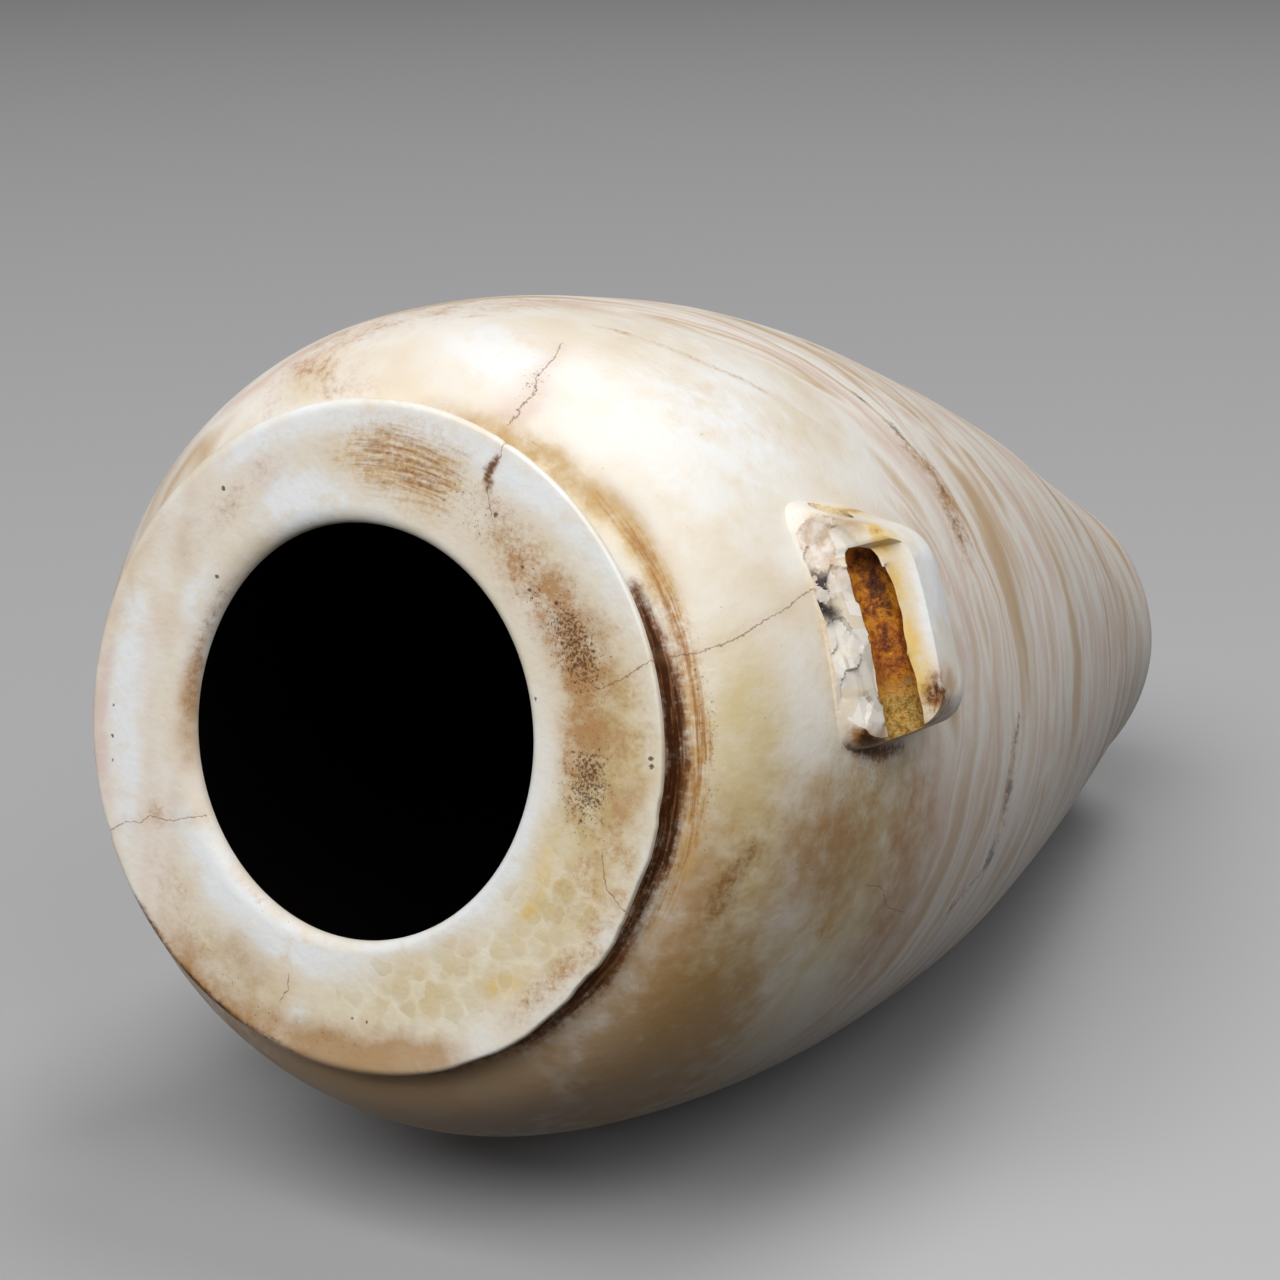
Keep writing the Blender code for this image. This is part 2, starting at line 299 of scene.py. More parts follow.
# %% Rings to mesh
def closed_stack(name, rings, poles, material):
    """Mesh object of a (rows, columns, 3) stack of rings, closed by a fan of triangles at each pole."""
    rows, columns = rings.shape[:2]
    points = np.concatenate([rings.reshape(-1, 3), poles])
    index = np.arange(rows * columns).reshape(rows, columns)
    turned = np.roll(index, -1, axis=1)
    quads = np.stack([index[:-1], turned[:-1], turned[1:], index[1:]], axis=-1).reshape(-1, 4)
    first = np.stack([turned[0], index[0], np.full(columns, rows * columns)], axis=-1)
    last = np.stack([index[-1], turned[-1], np.full(columns, rows * columns + 1)], axis=-1)
    triangles = np.concatenate([quads[:, [0, 1, 2]], quads[:, [0, 2, 3]], first, last])
    a, b, c = (points[triangles[:, k]] for k in range(3))
    volume = (a * np.cross(b, c)).sum() / 6
    if volume < 0:
        quads, first, last = quads[:, ::-1], first[:, ::-1], last[:, ::-1]
    mesh = bpy.data.meshes.new(name)
    mesh.from_pydata(points.tolist(), [], quads.tolist() + first.tolist() + last.tolist())
    mesh.polygons.foreach_set("use_smooth", np.ones(len(mesh.polygons), dtype=bool))
    mesh.materials.append(material)
    thing = bpy.data.objects.new(name, mesh)
    bpy.context.scene.collection.objects.link(thing)
    print(name, "has", len(mesh.polygons), "faces and", round(abs(volume) * 1e6, 2), "cm3")
    return thing


# %% The materials, filled in further down
STONE = bpy.data.materials.new("banded_calcite")
BROKEN = bpy.data.materials.new("broken_calcite")
STAINED = bpy.data.materials.new("stained_bore")
print("materials:", STONE.name, BROKEN.name, STAINED.name)

# %% [markdown]
# ## The body
#
# The columns lie closest together on the side that the photo shows best: the angle is
# t - share * sin(t - middle), whose steps are shortest at the middle.

# %% Compute the body
COLUMNS = 300
CLOSEST_AT = 10.0
CLOSER_SHARE = 0.34


def column_angles():
    """Angles round the jar in degrees, closest on the side of the seen lug."""
    t = np.arange(COLUMNS) * 2 * np.pi / COLUMNS
    return np.degrees(t - CLOSER_SHARE * np.sin(t - np.radians(CLOSEST_AT)))


def body_points(angle):
    """Jar millimetres of the body's grid: radius and depth of the section, turned to each angle."""
    inside = hollow_section(angle)
    outside = np.concatenate([rim_section(angle), body_section(angle)])
    radius, depth = outside[..., 0], outside[..., 1]
    below_rim = depth > 0.8 * NECK[1]
    radius = radius + waves(angle, depth) * below_rim - chip_bites(angle, radius, depth)
    section = np.concatenate([inside, np.stack([radius, depth], axis=-1)])
    turn = np.radians(angle)
    r, d = section[..., 0], section[..., 1]
    return np.stack([r * np.cos(turn), r * np.sin(turn), -d], axis=-1)


angles = column_angles()
body_grid = to_world(body_points(angles))
body_grid[..., 2] = np.maximum(body_grid[..., 2], 0.0)
body_poles = to_world([(0.0, 0.0, -HOLLOW_LENGTH), (0.0, 0.0, -LENGTH)])
jar = closed_stack("carved_jar", body_grid, body_poles, STONE)

# %% [markdown]
# ## The lugs
#
# A lug is a rounded block that narrows outwards. Its outline is a superellipse, which is a circle
# with its sides pushed out towards a rectangle, and the outline shrinks and rises along a path from
# the root in the wall to the middle of the crown.

# %% Sizes of the lugs, each one placed by its angle, depth and height
SEEN_LUG = (19.5, 27.4, 7.9)
FAR_LUG = (199.5, 30.2, 7.0)
LUG_ROOT = 4.5
LUG_SPAN = (25.2, 19.4)
LUG_WIDTH = (15.0, 13.6)
LUG_LEAN = 1.6
LUG_ROUND = 3.1
LUG_CORNER_POWER = 5.5
BORE_RADIUS = 2.3
BORE_HEIGHT = 3.2
BORE_FORWARD = 2.5


def outside_radius(depth):
    """Radius of the body's section at a depth below the neck."""
    section = body_section(np.array([0.0]))[:, 0]
    return np.interp(depth, section[:, 1], section[:, 0])


print("radius at the seen lug:", outside_radius(SEEN_LUG[1]).round(2))


# %% A lug's own axes
def lug_axes(lug):
    """Origin on the body's surface, and the directions out, round the jar and to the mouth."""
    turn = np.radians(lug[0])
    out = np.array([np.cos(turn), np.sin(turn), 0.0])
    round_jar = np.array([-np.sin(turn), np.cos(turn), 0.0])
    origin = out * outside_radius(lug[1]) - np.array([0.0, 0.0, lug[1]])
    return origin, np.stack([out, round_jar, np.array([0.0, 0.0, 1.0])])


def lug_to_world(points, lug):
    """World metres of (out, along, front) millimetres of a lug."""
    origin, axes = lug_axes(lug)
    return to_world(origin + np.asarray(points) @ axes)


print("the seen lug looks along:", lug_axes(SEEN_LUG)[1][0].round(3))


# %% The lug's surface
def lug_path(height):
    """The path of the outline from root to crown: (inset from the side, how far out, share kept)."""
    side = np.linspace(-LUG_ROOT, height - LUG_ROUND, 34)
    corner = np.radians(np.linspace(0.0, 90.0, 14))[1:]
    crown = np.linspace(1.0, 0.0, 22)[1:-1]
    inset = np.concatenate([0 * side, LUG_ROUND * (1 - np.cos(corner)), LUG_ROUND + 0 * crown])
    out = np.concatenate([side, height - LUG_ROUND + LUG_ROUND * np.sin(corner),
                          height + 0.25 * (1 - crown ** 2)])
    keep = np.concatenate([1 + 0 * side, 1 + 0 * corner, crown])
    return inset[:, None], out[:, None], keep[:, None]


def lug_points(lug, columns=150):
    """(out, along, front) grid: reach = (|cos/a|^n + |sin/b|^n)^(-1/n) at each turn of the outline."""
    height = lug[2]
    inset, out, keep = lug_path(height)
    share = out / height
    half_along = (LUG_SPAN[0] + share * (LUG_SPAN[1] - LUG_SPAN[0])) / 2 - inset
    half_front = (LUG_WIDTH[0] + share * (LUG_WIDTH[1] - LUG_WIDTH[0])) / 2 - inset
    turn = np.linspace(0.0, 2 * np.pi, columns, endpoint=False)[None]
    power = LUG_CORNER_POWER
    sides = np.abs(np.cos(turn) / half_along) ** power + np.abs(np.sin(turn) / half_front) ** power
    reach = sides ** (-1 / power) * keep
    along = reach * np.cos(turn) + LUG_LEAN * (0.5 - share)
    front = reach * np.sin(turn)
    return np.stack([out + 0 * turn, along, front], axis=-1)


def lug_solid(name, points, lug, material):
    """A closed object of an (out, along, front) grid of a lug."""
    ends = [points[0].mean(axis=0), points[-1].mean(axis=0)]
    return closed_stack(name, lug_to_world(points, lug), lug_to_world(ends, lug), material)


print("grid of a lug:", lug_points(SEEN_LUG).shape)

# %% [markdown]
# ## The cord holes
#
# Each lug is drilled round the jar, in the direction in which a cord would run. A drill's core is a
# cylinder, a little uneven because it was turned by hand with sand.

# %% The drill's core
BORE_SAG = 2.5


def bore_points(columns=40, rows=90):
    """(out, along, front) of a core along the lug that sinks and narrows towards its upper end."""
    along = np.linspace(-0.75, 0.75, rows)[:, None] * LUG_SPAN[0]
    turn = np.linspace(0.0, 2 * np.pi, columns, endpoint=False)[None]
    narrowing = 0.55 * np.clip((along - 7.5) / 3.0, 0.0, 1.0)
    radius = BORE_RADIUS - narrowing + 0.06 * np.sin(3 * turn + 0.6 * along) + 0.05 * np.sin(1.9 * along)
    out = BORE_HEIGHT - BORE_SAG * (np.maximum(along, 0.0) / 12.0) ** 2 + radius * np.cos(turn)
    front = BORE_FORWARD + radius * np.sin(turn)
    return np.stack([out, along + 0 * turn, front], axis=-1)


print("grid of a core:", bore_points().shape)

# %% [markdown]
# ## The break
#
# The seen lug has lost its wall on the mouth's side and the roof of its bore. Calcite breaks along
# flat planes, so the broken face is a patchwork of small facets with steps between them. The missing
# part is lofted along the lug as rings of a section, and each point is pushed in or out by the plane
# of the facet that is nearest to it.

# %% The facets of the break
FACET_COUNT = 46
FACET_STEP = 0.30
FACET_TILT = 0.16


def facet_heights(along, across, seed):
    """Height of the nearest facet's plane: step + tilt . (place - the facet's middle)."""
    rng = np.random.default_rng(seed)
    middle = rng.uniform((-14.0, -0.5), (14.0, 9.5), (FACET_COUNT, 2))
    step = rng.uniform(-FACET_STEP, FACET_STEP, FACET_COUNT)
    tilt = rng.uniform(-FACET_TILT, FACET_TILT, (FACET_COUNT, 2))
    offset = np.stack([along, across], axis=-1)[..., None, :] - middle
    stretched = offset * [0.55, 1.0]
    nearest = (stretched ** 2).sum(axis=-1).argmin(axis=-1)
    chosen = np.take_along_axis(offset, nearest[..., None, None], axis=-2)[..., 0, :]
    return step[nearest] + (tilt[nearest] * chosen).sum(axis=-1)


print("facets:", FACET_COUNT)

# %% The missing part of the seen lug
BREAK_END = 8.4
BREAK_REACH = 14.4
BREAK_FOOT = (8.0, -1.0)
RING_WALL = 0.35
ROOF_BACK = 1.0
FACETS_END = 9.5
FACETS_FADE = 0.8
FACET_SEED = 11


def break_points():
    """(out, along, front) rings of the missing part, from below the lug to above it."""
    along = np.linspace(-BREAK_REACH, BREAK_REACH, 110)
    ring_left = np.clip((along - BREAK_END) / 0.5, 0.0, 1.0)
    sag = along ** 2 / (2 * outside_radius(SEEN_LUG[1]))
    lower_half = np.clip((2.0 - along) / 8.0, 0.0, 1.0)
    lip = BORE_FORWARD + 0.8 * BORE_RADIUS + ring_left * RING_WALL
    edge = BORE_FORWARD + ring_left * (0.7 * BORE_RADIUS + RING_WALL)
    roof = BORE_FORWARD + 0.8 * ring_left - (1 - ring_left) * ROOF_BACK
    top = SEEN_LUG[2] + 4.0
    foot = BREAK_FOOT[1] - sag - 0.3
    corners = [(BREAK_FOOT[0] + 0 * along, foot),
               (6.2 + 0.5 * lower_half, 0.1 + 0.9 * lower_half - 0.5 * sag),
               (lip, BORE_HEIGHT - 0.6 * BORE_RADIUS + 0 * along),
               (edge, BORE_HEIGHT + 0.9 * BORE_RADIUS - 0.8 * ring_left),
               (roof, SEEN_LUG[2] + 0.4 + 0 * along),
               (roof, top + 0 * along),
               (BREAK_FOOT[0] + 2.0 + 0 * along, top + 0 * along),
               (BREAK_FOOT[0] + 2.0 + 0 * along, foot)]
    counts = (14, 14, 18, 8, 3, 3, 3, 3)
    rows = []
    for here, there, count in zip(corners, corners[1:] + corners[:1], counts):
        t = np.arange(count)[:, None] / count
        rows.append(np.stack([(1 - t) * a + t * b for a, b in zip(here, there)], axis=-1))
    section = np.concatenate(rows).transpose(1, 0, 2)
    front, out = section[..., 0], section[..., 1]
    lengthwise = along[:, None] + 0 * front
    steps = np.hypot(np.diff(front, axis=1), np.diff(out, axis=1))
    travelled = np.concatenate([0 * front[:, :1], steps], axis=1).cumsum(axis=1)
    fading = np.clip((FACETS_END - travelled) / FACETS_FADE, 0.0, 1.0)
    rough = (travelled < FACETS_END) * np.clip(travelled / FACETS_FADE, 0.0, 1.0) * fading
    push = facet_heights(lengthwise, travelled, FACET_SEED) * rough
    return np.stack([out + 0.8 * push, lengthwise, front + 0.6 * push], axis=-1)


# %% [markdown]
# ## Cut and join
#
# The lugs are drilled and broken while they are still small and quick to work on. Then they are
# joined to the body. Material mode Transfer gives each cut face the material of the tool that cut it,
# so the bore comes out stained and the break comes out white, with no hand selection.

# %% One Boolean
def combine(target, tool, operation):
    """Apply one exact Boolean to the target, remove the tool and keep the result's mesh."""
    boolean = target.modifiers.new(tool.name, "BOOLEAN")
    boolean.operation = operation
    boolean.object = tool
    boolean.solver = "EXACT"
    boolean.material_mode = "TRANSFER"
    evaluated = target.evaluated_get(bpy.context.evaluated_depsgraph_get())
    mesh = bpy.data.meshes.new_from_object(evaluated)
    target.modifiers.clear()
    used = target.data
    target.data = mesh
    bpy.data.meshes.remove(used)
    bpy.data.meshes.remove(tool.data)
    print(operation.lower(), "leaves", len(mesh.polygons), "faces")


# %% Drill, break and join the lugs
seen_lug = lug_solid("seen_lug", lug_points(SEEN_LUG), SEEN_LUG, STONE)
combine(seen_lug, lug_solid("seen_core", bore_points(), SEEN_LUG, STAINED), "DIFFERENCE")
combine(seen_lug, lug_solid("lug_break", break_points(), SEEN_LUG, BROKEN), "DIFFERENCE")
far_lug = lug_solid("far_lug", lug_points(FAR_LUG), FAR_LUG, STONE)
combine(far_lug, lug_solid("far_core", bore_points(), FAR_LUG, STAINED), "DIFFERENCE")
combine(jar, seen_lug, "UNION")
combine(jar, far_lug, "UNION")

# %% Where the break is worn smooth, it looks like the outside
faces = jar.data.polygons
face_middles = np.empty(len(faces) * 3)
face_slots = np.empty(len(faces), dtype=np.int32)
faces.foreach_get("center", face_middles)
faces.foreach_get("material_index", face_slots)
lug_origin, lug_turns = lug_axes(SEEN_LUG)
in_lug = (to_jar(face_middles.reshape(-1, 3)) - lug_origin) @ lug_turns.T
broken = face_slots == [material.name for material in jar.data.materials].index(BROKEN.name)
worn_top = (in_lug[:, 0] > 5.0) & (in_lug[:, 2] < 2.9)
worn_ring = (in_lug[:, 1] > BREAK_END - 0.4) & (in_lug[:, 2] < 5.2)
worn_smooth = broken & (worn_top | worn_ring)
faces.foreach_set("material_index", np.where(worn_smooth, 0, face_slots).astype(np.int32))

SHARP_ANGLE = 38.0
jar.data.set_sharp_from_angle(angle=np.radians(SHARP_ANGLE))
triangles = sum(len(polygon.vertices) - 2 for polygon in jar.data.polygons)
print("the jar has", triangles, "triangles and the materials", [m.name for m in jar.data.materials])

# %% [markdown]
# ## Where the stains and painted shade are
#
# Colour that is tied to a place, such as the dirt and the painted shade in the groove, is stored on
# the mesh: a number at each vertex, worked out once with numpy. Each stain or patch of painted shade
# is a brush stroke, a run of points on the stone with a width. The number is 1 on the stroke's middle
# line and fades like a bell to both sides. The materials multiply it by noise, so that no stroke looks
# drawn.

# %% Jar coordinates of the finished mesh
corner_count = len(jar.data.vertices)
world_points = np.empty(corner_count * 3)
jar.data.vertices.foreach_get("co", world_points)
PLACES = to_jar(world_points.reshape(-1, 3))
RADII = np.hypot(PLACES[:, 0], PLACES[:, 1])
TURNS = np.degrees(np.arctan2(PLACES[:, 1], PLACES[:, 0]))
DEPTHS = -PLACES[:, 2]


def store(name, values):
    """Keep one number for each vertex as a named attribute."""
    layer = jar.data.attributes.new(name, "FLOAT", "POINT")
    layer.data.foreach_set("value", np.asarray(values, dtype=np.float32))
    print("stored", name)


# %% Points on the stone
def on_rim(radius, turn):
    """A point of the rim's face."""
    return radius * np.cos(np.radians(turn)), radius * np.sin(np.radians(turn)), 0.0


def on_body(depth, turn):
    """A point of the body's outside."""
    radius = outside_radius(depth)
    return radius * np.cos(np.radians(turn)), radius * np.sin(np.radians(turn)), -depth


def on_lug(out, along, front):
    """A point of the seen lug."""
    origin, axes = lug_axes(SEEN_LUG)
    return tuple(origin + np.array([out, along, front]) @ axes)


print("middle of the seen lug's crown:", np.round(on_lug(SEEN_LUG[2], 0.0, 0.0), 1))


# %% Strokes
def stroke_field(points, width):
    """exp(-(distance / width)^2), with the distance to a run of straight pieces: the nearest point of
    each piece is a + t (b - a), with t kept between 0 and 1. The ends fade to a half."""
    points = np.array(points)
    best = np.full(len(PLACES), np.inf)
    travelled = np.zeros(len(PLACES))
    pieces = len(points) - 1
    for number, (a, b) in enumerate(zip(points, points[1:])):
        run = b - a
        t = np.clip((PLACES - a) @ run / (run @ run), 0.0, 1.0)
        distance = np.linalg.norm(PLACES - a - t[:, None] * run, axis=1)
        travelled = np.where(distance < best, (number + t) / pieces, travelled)
        best = np.minimum(best, distance)
    fade = 1.0 - 0.5 * np.abs(2.0 * travelled - 1.0) ** 3
    return fade * np.exp(-(best / width) ** 2)


def strokes(name, rim=(), body=(), lug=()):
    """Store the highest of several strokes; each is (width, strength, (radius or depth, turn), ...).
    Strokes of the rim end at its edge, and those of the body and lug don't reach round to its face."""
    field = np.zeros(len(PLACES))
    behind = DEPTHS > 1.0
    kinds = ((on_rim, rim, DEPTHS < 3.0), (on_body, body, behind), (on_lug, lug, behind))
    for place, runs, here in kinds:
        for width, strength, *run in runs:
            reached = strength * stroke_field([place(*point) for point in run], width)
            field = np.maximum(field, reached * here)
    store(name, field)


# %% [markdown]
# ## The layers of the stone
#
# Calcite of this kind grew in layers, and the cut through them shows as bands. The layers aren't
# square to the jar's axis: near the mouth they slope, towards the tail they are almost square. The
# attribute level says how many millimetres up the pile of layers a point is. The front of the jar is
# one thick milky layer, and the bands start behind it.

# %% Levels and the banded zone
SLOPE_FRONT = 0.90
SLOPE_TAIL = 0.20


def layer_levels():
    """depth - slope * x, where the slope falls from the front value to the tail's along the jar."""
    share = np.clip((DEPTHS - 38.0) / 55.0, 0.0, 1.0)
    slope = SLOPE_FRONT + (SLOPE_TAIL - SLOPE_FRONT) * share ** 2 * (3 - 2 * share)
    return DEPTHS - slope * PLACES[:, 0]


def banded_zone():
    """Positive millimetres behind the milky front layer, whose back edge bulges beside the lug.
    On the rim's face the number stays small, so that the bands only just show there."""
    back_edge = 36.0 + 13.0 * bump(TURNS, 52.0, 18.0) - 14.0 * bump(TURNS, 110.0, 30.0)
    return np.minimum(np.maximum(DEPTHS - back_edge, layer_levels() - 21.0), 0.6 + 1.5 * DEPTHS)


store("level", layer_levels())
store("banded", banded_zone())

# %% Strokes of the pale colours, with painted light among them
strokes("milky", rim=(
    (3.3, 1, (26, 103.5), (26.6, 112), (26.4, 122)),
    # milky white, and also a painted highlight along the bevel of the lip at the lower left
    (2.3, 1, (25.3, -150), (25, -129), (24.9, -110), (24.6, -94), (25, -80)),
    (2, 0.8, (34.3, 128), (34.6, 108), (34.4, 90), (33.8, 72), (34.2, 52), (34.8, 36)),
    (1.4, 0.9, (22.3, -4), (22.2, -30), (22.2, -60), (22.6, -85)),
    (2.2, 0.8, (32.5, 160), (31.4, 175), (31.6, -168), (33, -152)),
    (1.5, 0.8, (26.5, 146), (26, 158)),
    (1.6, 0.7, (30.5, -100), (32.5, -99))), body=(
    (13, 0.5, (8, 44), (16, 49), (27, 56)),
    (5, 0.8, (8, 74), (12, 88))), lug=(
    # milky white on the lug's crown, also painting its top lighter in place of light
    (4.6, 1, (8.4, 8, -1.6), (8.4, 1, -3.2)),
    (2.2, 0.9, (8.2, 8, 1.4), (8.2, -3, 1.4))))
strokes("honey", rim=(
    (5.6, 1, (30.5, 26), (30.5, 4), (30, -20), (29.5, -40)),
    (5, 0.6, (29, -40), (28, -70), (29.5, -95)),
    (3.4, 0.4, (29.5, 54), (31, 44), (31.5, 30)),
    (2.4, 0.3, (27, -176), (26.6, 165), (29, 150)),
    (3.4, 0.5, (30, -135), (32, -115), (32, -100))), body=(
    (6, 0.9, (8, 20), (8.5, 6), (9.5, -8), (12, -24)),
    (9, 0.5, (16, 4), (18, -12)),
    (10, 0.8, (24, 4), (29, -12), (28, -34)),
    (9, 1, (10, -22), (14, -34), (20, -46)),
    (14, 0.6, (14, -40), (24, -56), (40, -60)),
    (1.9, 0.8, (3.6, 80), (4, 62), (4.4, 44), (4.8, 28)),
    (7, 0.25, (8, 56), (20, 34))))
# glow is painted light: the yellow glow of light through thin stone at the lug's channel edge, its ring
# and upper end, and in the rim's lower right
strokes("glow", rim=(
    (1.6, 0.38, (25.6, -16), (26, -30), (27.5, -40)),
    (1.8, 0.42, (31, -44), (30, -54))), lug=(
    (1.7, 1.1, (5.3, 8, 1.6), (5.3, 0, 1.6), (5.3, -8, 1.6)),
    (2, 1.1, (6, 9.2, 3), (4.2, 9, 4)),
    (2.4, 0.5, (1.5, 12.4, 2.5), (0.6, 13.6, -3))))
# The patina strokes darken by multiplying: a brown patina on the rim's face, and painted shade in the
# groove under the rim, on the underside, along the rim's lower edge, in the worn lip at the left and on
# the lug's lower end; the wide faint stroke over the body's top is painted shade against the key light.
strokes("patina_and_painted_shade", rim=(
    (4, 0.9, (28, 42), (28.4, 30), (28.8, 16), (28.6, -6)),
    (3.4, 0.6, (32, 4), (32, -10)),
    (3, 1, (34.6, -134), (35, -116), (34.6, -96)),
    (3.6, 0.7, (29, -124), (31, -108)),
    (3, 1.6, (34.6, -102), (34.6, -84), (35, -66)),
    (1.8, 1.3, (22.9, 164), (22.5, 180), (22.7, -166))), body=(
    (13, 1.5, (9, -24), (12, -40), (17, -54), (26, -64)),
    (5, 1.1, (6.5, -4), (6.5, -16), (7, -28), (7.5, -42), (7.5, -54)),
    (12, 2.2, (5, -56), (8, -80), (9, -112)),
    (9, 1, (13, -4), (20, -9), (30, -13)),
    (9, 1, (33, 4), (40, -14), (44, -32)),
    (3, 0.8, (4, 34), (4, 0), (4, -40)),
    (2.2, 0.8, (3.8, 86), (4.2, 64), (4.8, 44), (5, 30)),
    (14, 0.3, (8, 112), (12, 90), (12, 68))), lug=(
    (2.6, 0.9, (8, -6.4, 0.6), (7.6, -8.6, -1.6)),
    (4.5, 1.4, (4, -11, 6), (2, -12, 4), (3, -12, -4)),
    (2.6, 1.2, (3.5, 12.4, 3), (3.2, 12.2, 6.6), (0.6, 13.2, 7)),
    (2.2, 1, (7, -7, 1.6), (5.8, -9, 1.6))))
strokes("grains", rim=(
    (5.6, 1, (29.5, 2), (29.5, -25), (28.5, -48), (28, -70), (29.5, -92)),
    (3.6, 0.7, (29.5, 50), (32, 36), (32.5, 20), (32, 8))))
strokes("blush", rim=(
    (1.5, 0.9, (35, 165), (35, -175), (34.5, -160)),
    (1.3, 0.7, (30.8, -104), (34, -103)),
    (3.2, 0.6, (30.5, 126), (30, 112))), body=(
    (4.5, 1, (31, -11), (37, -12)),
    (3, 0.7, (4.7, 75), (5.5, 70), (12, 74)),
    (5, 0.5, (45, 30), (52, 20), (50, 0))))

# %% Strokes of the stains and of painted shade
# tan is a stain and also painted shade: in the worn lip at the left, along the rim's lower edge and on
# the lug's lower end
strokes("tan", rim=(
    (3.3, 0.75, (29, 62), (27.4, 50), (28, 38), (28.3, 28), (28.2, 16), (27.2, 4), (27.4, -6)),
    (4.5, 0.4, (31.5, 34), (32, 10), (31.5, -14), (30.5, -30)),
    (2.4, 0.3, (33.6, 112), (31.2, 118), (29.5, 128), (30.5, 140)),
    (1.2, 0.8, (23.4, 158), (22.6, 172), (22.3, -170)),
    (0.7, 0.7, (22.3, -168), (22.3, -150), (22.5, -130), (22.6, -112)),
    (3, 0.3, (30.8, -146), (31, -130), (32.5, -120)),
    (1.3, 0.6, (35.4, -136), (35.6, -118), (35.5, -98)),
    (1.6, 0.5, (27.6, -155), (29.6, -154.7)),
    (2, 0.5, (34, -10), (34.4, -30), (34, -52))), body=(
    (8, 0.35, (15, -7), (23, -4), (31, -4)),
    (1.2, 0.35, (3.6, 78), (3.8, 60), (4.2, 44)),
    (5, 0.3, (20, -18), (32, -20)),
    (3, 0.45, (4.5, 100), (7, 112), (10, 118)),
    (0.6, 0.6, (11, 100), (15.4, 90), (23.8, 73), (28.3, 63), (33, 56), (38.3, 48.5)),
    (7, 0.35, (5, 118), (12, 108), (22, 92), (34, 84)),
    (8, 0.22, (34, 4), (40, -14), (44, -34)),
    (3, 0.7, (58, 47), (60.5, 42), (61, 34), (57.8, 28))), lug=(
    (1.8, 1.6, (3.6, -9.8, 6.6), (0.6, -10.6, 6.6), (0, -11.6, 4)),
    (1.6, 1.8, (3.4, 12, 6.6), (0.6, 13, 7)),
    (1.8, 0.9, (7.2, -7, 1.6), (6, -9, 1.6)),
    (1.2, 0.8, (3.6, 9, 5.4), (2.6, 9.6, 6.4))))
strokes("ochre", rim=(
    (4.8, 0.85, (30.6, 99), (30.2, 88), (29.3, 77), (28.8, 70)),
    (0.9, 0.6, (29.4, 47), (30, 49))), body=(
    (0.8, 0.5, (4, 76), (4.3, 62), (4.8, 50)),
    (1.35, 1, (4.3, 50), (4.7, 38), (4.9, 24), (5, 8), (4.9, -8), (4.6, -24)),
    (1.5, 0.45, (20.5, 30), (20, 24), (20, 12), (22, 5.5)),
    (2.5, 0.7, (24.5, -19), (27, -21))), lug=(
    (1.1, 0.8, (1.2, 12.8, 4), (0.8, 13.2, 0), (0.4, 13.2, -6)),
    (3, 0.4, (0, 15, 2), (0, 15, -6)),
    (0.8, 0.6, (6.6, -9, 0.6), (5, -10.6, 2)),
    (0.9, 0.7, (6.4, 10, 3), (5, 10.4, 5))))
# umber is a dark brown stain and also painted shade: the rim's shadow in the groove, darkest by the rim
# and running on round the lower right, the shade of the worn lip at the left, and the shade along the
# rim's lower edge
strokes("umber", rim=(
    (0.5, 0.9, (31, 65.2), (32.6, 66.6), (34.2, 66.2)),
    (1.5, 0.45, (23.2, 138), (22.6, 155), (22.2, 170), (22.2, -176)),
    (0.6, 0.8, (35.8, -142), (35.9, -128), (35.9, -112), (35.9, -98))), body=(
    (1.2, 1.1, (3.6, 34), (3.8, 18), (3.9, 4), (3.8, -12), (3.7, -26)),
    (1.7, 0.9, (3.7, -20), (3.7, -36), (3.7, -52), (3.7, -74)),
    (0.9, 0.9, (33, 4.2), (29, 3.8), (25, 4.6), (21.5, 5.6)),
    (2.2, 0.35, (10, -6), (8, -20))), lug=(
    (1.2, 0.8, (7.4, -6.8, 1.6), (6.8, -8.2, 1.4), (6.6, -9.4, -1)),
    (1.1, 0.9, (0.8, -10.4, 6.9), (0.2, -11.2, 5.6), (0, -12, 3)),
    (0.9, 0.7, (5.6, -10.4, 0.4), (4.6, -11.4, 2.6)),
    (0.45, 1, (0.4, -12.7, 6), (0, -12.9, 2), (-0.2, -12.9, -2)),
    (0.5, 0.8, (4, 10, 7.2), (3, 9, 7.6))))
strokes("specks", rim=(
    (3.4, 0.6, (30.5, 92), (29.5, 78), (28.5, 66), (27.6, 52), (28.2, 40)),
    (3.2, 1.5, (28, 38), (28.3, 29), (28.4, 18)),
    (3, 1.5, (27.6, 7), (27.8, 0), (27.8, -9)),
    (2.4, 0.9, (26, 46), (27.4, 40)),
    (1.2, 0.8, (30.7, 65), (28.5, 60)),
    (2, 0.5, (32, -122), (33.5, -108), (33.5, -80)),
    (1.5, 0.4, (23.6, 158), (22.8, 172), (22.6, -170)),
    (5, 0.25, (29, -18), (29, -60))), body=(
    (5, 0.35, (12, -6), (18, -8), (24, -10)),
    (1.2, 0.7, (4.6, 30), (5.6, 14), (5.6, 0), (5.4, -10)),
    (1.6, 0.9, (6.5, 71), (10.4, 73)),
    (2.4, 0.8, (30, 1), (26, 3), (22, 5))), lug=(
    (1.6, 1.8, (3.2, 12.2, 6.4), (1, 13, 6.6)),
    (1.6, 1.2, (7.4, -7, 1.6), (6.2, -9, 1.6))))
strokes("veins", body=(
    (1.1, 1, (68, 4.7), (66.3, 0.6), (66.7, -4.5), (68.6, -12.4), (66.5, -19), (59.4, -24.9)),
    (0.9, 0.7, (55, 60), (58.5, 50), (60.5, 44), (60.7, 38), (58, 28.5))))

